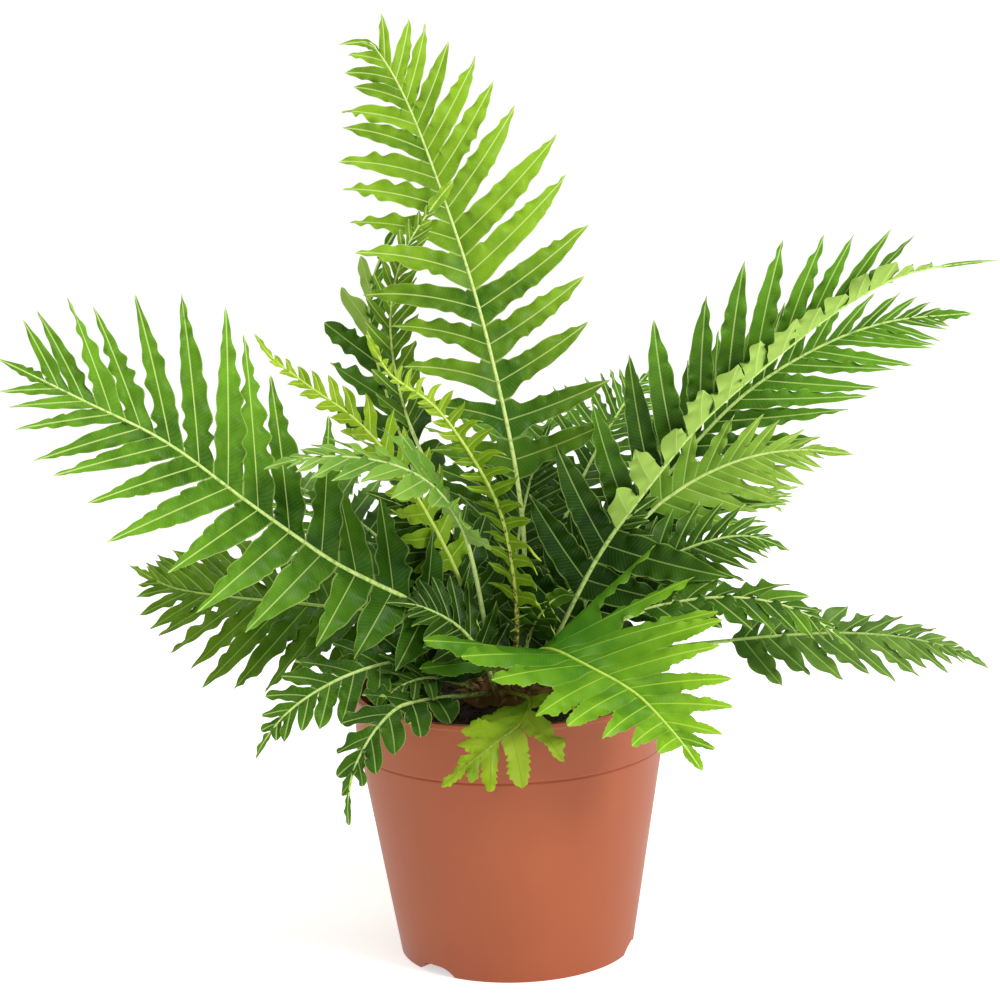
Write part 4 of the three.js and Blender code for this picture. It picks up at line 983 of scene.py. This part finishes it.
class FERN_OT_pot(bpy.types.Operator):
    """Mould the nursery pot: tapering wall, rim band, thin lip and three notches in the foot"""

    bl_idname = "fern.pot"
    bl_label = "Pot"

    def execute(self, context):
        p = context.scene.fern_pot
        band_foot = p.height - p.band
        band = p.rim - 0.5 * MM
        wall_top = band - 2.4 * MM
        inner = band - 1 * MM - p.wall
        taper = (wall_top - p.foot) / band_foot
        # Under the band runs a groove, 0.4 mm deep.
        groove = wall_top - 0.4 * MM
        profile = [
            (0, 0), (p.foot, 0), (wall_top, band_foot - 1.4 * MM), (groove, band_foot - 0.5 * MM),
            (groove, band_foot), (band - 1 * MM, band_foot + 0.5 * MM),
            (band, p.height - 3.2 * MM), (p.rim, p.height - 2.6 * MM), (p.rim, p.height),
            (inner, p.height), (inner, band_foot + p.wall), (wall_top - p.wall, band_foot - p.wall),
            (p.foot + taper * p.wall - p.wall, p.wall), (0, p.wall),
        ]
        pot = plain_object("nursery_pot", turned_mesh("nursery_pot", rounded(profile, 0.5 * MM), 180))
        for turn in NOTCH_TURNS:
            cutter = notch_cutter(p.foot, math.radians(turn))
            cut = pot.modifiers.new("notch", "BOOLEAN")
            cut.operation = "DIFFERENCE"
            cut.solver = "EXACT"
            cut.object = cutter
            bpy.context.view_layer.update()
            graph = bpy.context.evaluated_depsgraph_get()
            mesh = bpy.data.meshes.new_from_object(pot.evaluated_get(graph), depsgraph=graph)
            pot.modifiers.remove(cut)
            pot.data = mesh
            bpy.data.objects.remove(cutter)
        pot.data.materials.clear()
        pot.data.materials.append(moulded_pot(p.shade, p.colour))
        pot.data.shade_smooth()
        pot.data.set_sharp_from_angle(angle=math.radians(30))
        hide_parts("pot")
        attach(pot, "root")
        return {"FINISHED"}


def notch_cutter(foot, angle):
    """A low arch, 26 mm wide and 5 mm high, that goes through the foot of the wall."""
    width, height, depth = 26 * MM, 5 * MM, 12 * MM
    rim = []
    for k in range(25):
        t = k / 24 * 2 - 1
        rim.append((t * width / 2, height * (1 - abs(t) ** 3.2)))
    outline = [(width / 2, -1 * MM), *rim[::-1], (-width / 2, -1 * MM)]
    shape = bmesh.new()
    turn = Matrix.Rotation(angle + math.pi / 2, 4, "Z")
    rows = [[shape.verts.new(turn @ Vector((x, y, z))) for x, z in outline]
            for y in (-foot - depth, -foot + depth)]
    for k in range(len(outline)):
        n = (k + 1) % len(outline)
        shape.faces.new((rows[0][k], rows[0][n], rows[1][n], rows[1][k]))
    shape.faces.new(rows[0])
    shape.faces.new(rows[1][::-1])
    bmesh.ops.recalc_face_normals(shape, faces=shape.faces)
    mesh = bpy.data.meshes.new("notch_cutter")
    shape.to_mesh(mesh)
    shape.free()
    return plain_object("notch_cutter", mesh)


class FERN_OT_soil(bpy.types.Operator):
    """Fill the pot with peat: a rough mound with loose crumbs on it"""

    bl_idname = "fern.soil"
    bl_label = "Soil"

    def execute(self, context):
        s = context.scene.fern_soil
        p = context.scene.fern_pot
        outer = p.rim - 3.7 * MM
        rings = 34
        profile = [(0, 2.2 * MM), (p.foot - 9 * MM, 2.2 * MM), (p.foot - 1 * MM, 9 * MM), (78 * MM, 112 * MM),
                   (outer, 118 * MM)]
        for k in range(rings + 1):
            t = k / rings
            profile.append((outer * (1 - t) if k < rings else 0, s.top + s.mound * min(1, t * 1.4)))
        mesh = turned_mesh("peat_soil", profile, 120)
        for vertex in mesh.vertices:
            if vertex.co.z > s.top - 1 * MM:
                rough = noise.fractal(vertex.co * 160, 0.8, 2.1, 5) * 1.3 * MM
                clods = max(0.0, noise.noise(vertex.co * 70)) * 2.2 * MM
                vertex.co.z += rough + clods
        peat = peat_soil()
        mesh.materials.append(peat)
        mesh.shade_smooth()
        bed = plain_object("soil_bed", mesh)
        crumb = crumb_blank()
        crumbs = applied(bed, scatter_tree(), {"Shape": crumb, "Material": peat, "Density": s.crumbs,
                                               "Smallest": 0.3, "Largest": 1.5, "Seed": 5})
        bpy.data.objects.remove(crumb)
        bpy.data.objects.remove(bed)
        piece = joined("peat_soil", [mesh, crumbs])
        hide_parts("soil")
        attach(piece, "root")
        return {"FINISHED"}


def crumb_blank():
    """A small lump of peat with a few flat sides."""
    noise.seed_set(4)
    shape = bmesh.new()
    bmesh.ops.create_icosphere(shape, subdivisions=1, radius=1.1 * MM)
    for vertex in shape.verts:
        vertex.co *= 0.8 + 0.4 * noise.random()
        vertex.co.z *= 0.7
    mesh = bpy.data.meshes.new("peat_crumb")
    shape.to_mesh(mesh)
    shape.free()
    return plain_object("peat_crumb", mesh)


class FERN_OT_crown(bpy.types.Operator):
    """Shape the crown, the short scaly stem that every stalk grows from"""

    bl_idname = "fern.crown"
    bl_label = "Crown"

    def execute(self, context):
        radius, top, foot = 25 * MM, 157 * MM, 121 * MM
        shoulder = top - radius / 2
        profile = [(0, foot), (radius - 3 * MM, foot), (radius, foot + 5 * MM)]
        for k in range(17):
            a = math.pi / 2 * k / 16
            profile.append((radius * math.cos(a) if k < 16 else 0, shoulder + (top - shoulder) * math.sin(a)))
        mesh = turned_mesh("scaly_crown", profile, 72)
        for vertex in mesh.vertices:
            if vertex.co.z > shoulder - 8 * MM:
                vertex.co += vertex.normal * noise.fractal(vertex.co * 120, 0.9, 2.0, 4) * 1.6 * MM
        dry = papery_scale()
        mesh.materials.append(dry)
        mesh.shade_smooth()
        stub = plain_object("crown_stub", mesh)
        scale = scale_blank("crown_scale", 9 * MM, 1.1 * MM)
        scales = applied(stub, scatter_tree(), {"Shape": scale, "Material": dry, "Density": 260000.0,
                                                "Smallest": 0.5, "Largest": 1.2, "Tumble": 1.0, "Seed": 9})
        bpy.data.objects.remove(scale)
        bpy.data.objects.remove(stub)
        piece = joined("scaly_crown", [mesh, scales])
        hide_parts("crown")
        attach(piece, "root")
        return {"FINISHED"}


class FERN_OT_stage(bpy.types.Operator):
    """Set the pale floor, the soft studio lights and the camera"""

    bl_idname = "fern.stage"
    bl_label = "Stage"

    def execute(self, context):
        look = context.scene.fern_stage
        # A round of seamless paper, its far edge swept up so that it meets no horizon.
        sweep = [(0, 0), (look.floor, 0), (look.floor * 1.2, 0.02 * look.floor),
                 (look.floor * 1.4, 0.1 * look.floor)]
        mesh = turned_mesh("studio_floor", sweep, 96)
        mesh.materials.append(stage_floor())
        plain_object("studio_floor", mesh)

        world = bpy.data.worlds.new("soft_white_room")
        world.use_nodes = True
        world.node_tree.nodes["Background"].inputs["Color"].default_value = linear("#FFFFFF")
        world.node_tree.nodes["Background"].inputs["Strength"].default_value = 0.46
        context.scene.world = world
        lamps = (("key_softbox", (1.5, -1.3, 1.5), 0.6, 34), ("top_softbox", (-0.2, 0.1, 1.9), 0.8, 10))
        for name, place, size, power in lamps:
            lamp = bpy.data.lights.new(name, "AREA")
            lamp.size = size
            lamp.energy = power
            holder = plain_object(name, lamp)
            holder.location = place
            aim = Vector((0, 0, 0.25)) - Vector(place)
            holder.rotation_euler = aim.to_track_quat("-Z", "Y").to_euler()

        lens = bpy.data.cameras.new("view_of_the_photo")
        lens.lens = look.lens
        lens.sensor_width = 36
        camera = plain_object("view_of_the_photo", lens)
        ahead = Vector((0, math.cos(look.pitch), -math.sin(look.pitch)))
        level_up = Vector((0, math.sin(look.pitch), math.cos(look.pitch)))
        level = Vector((1, 0, 0))
        right = math.cos(look.roll) * level - math.sin(look.roll) * level_up
        up = math.sin(look.roll) * level + math.cos(look.roll) * level_up
        turned = Matrix((right, up, -ahead)).transposed().to_4x4()
        camera.matrix_world = Matrix.Translation(look.camera) @ turned
        context.scene.camera = camera
        context.scene.view_settings.view_transform = "Standard"
        return {"FINISHED"}


class FERN_PT_panel(bpy.types.Panel):
    """Lists the steps that build the fern"""

    bl_idname = "FERN_PT_panel"
    bl_label = "Silver lady fern"
    bl_space_type = "VIEW_3D"
    bl_region_type = "UI"
    bl_category = "Fern"

    def draw(self, context):
        scene = context.scene
        for group in (scene.fern_leaves, scene.fern_pot, scene.fern_soil, scene.fern_stage):
            box = self.layout.box()
            for name in group.__annotations__:
                box.prop(group, name)
        for operator in OPERATORS:
            self.layout.operator(operator.bl_idname)


GROUPS = {"fern_leaves": FernLeafSizes, "fern_pot": FernPotLook, "fern_soil": FernSoilSizes,
          "fern_stage": FernStageLook}
OPERATORS = (FERN_OT_fronds, FERN_OT_pot, FERN_OT_soil, FERN_OT_crown, FERN_OT_stage)


def register():
    for cls in (*GROUPS.values(), *OPERATORS, FERN_PT_panel):
        bpy.utils.register_class(cls)
    for name, group in GROUPS.items():
        setattr(bpy.types.Scene, name, bpy.props.PointerProperty(type=group))


def unregister():
    for name in GROUPS:
        delattr(bpy.types.Scene, name)
    for cls in (FERN_PT_panel, *OPERATORS[::-1], *list(GROUPS.values())[::-1]):
        bpy.utils.unregister_class(cls)


def main():
    register()
    bpy.ops.fern.fronds()
    bpy.ops.fern.pot()
    bpy.ops.fern.soil()
    bpy.ops.fern.crown()
    bpy.ops.fern.stage()


if __name__ == "__main__":
    main()
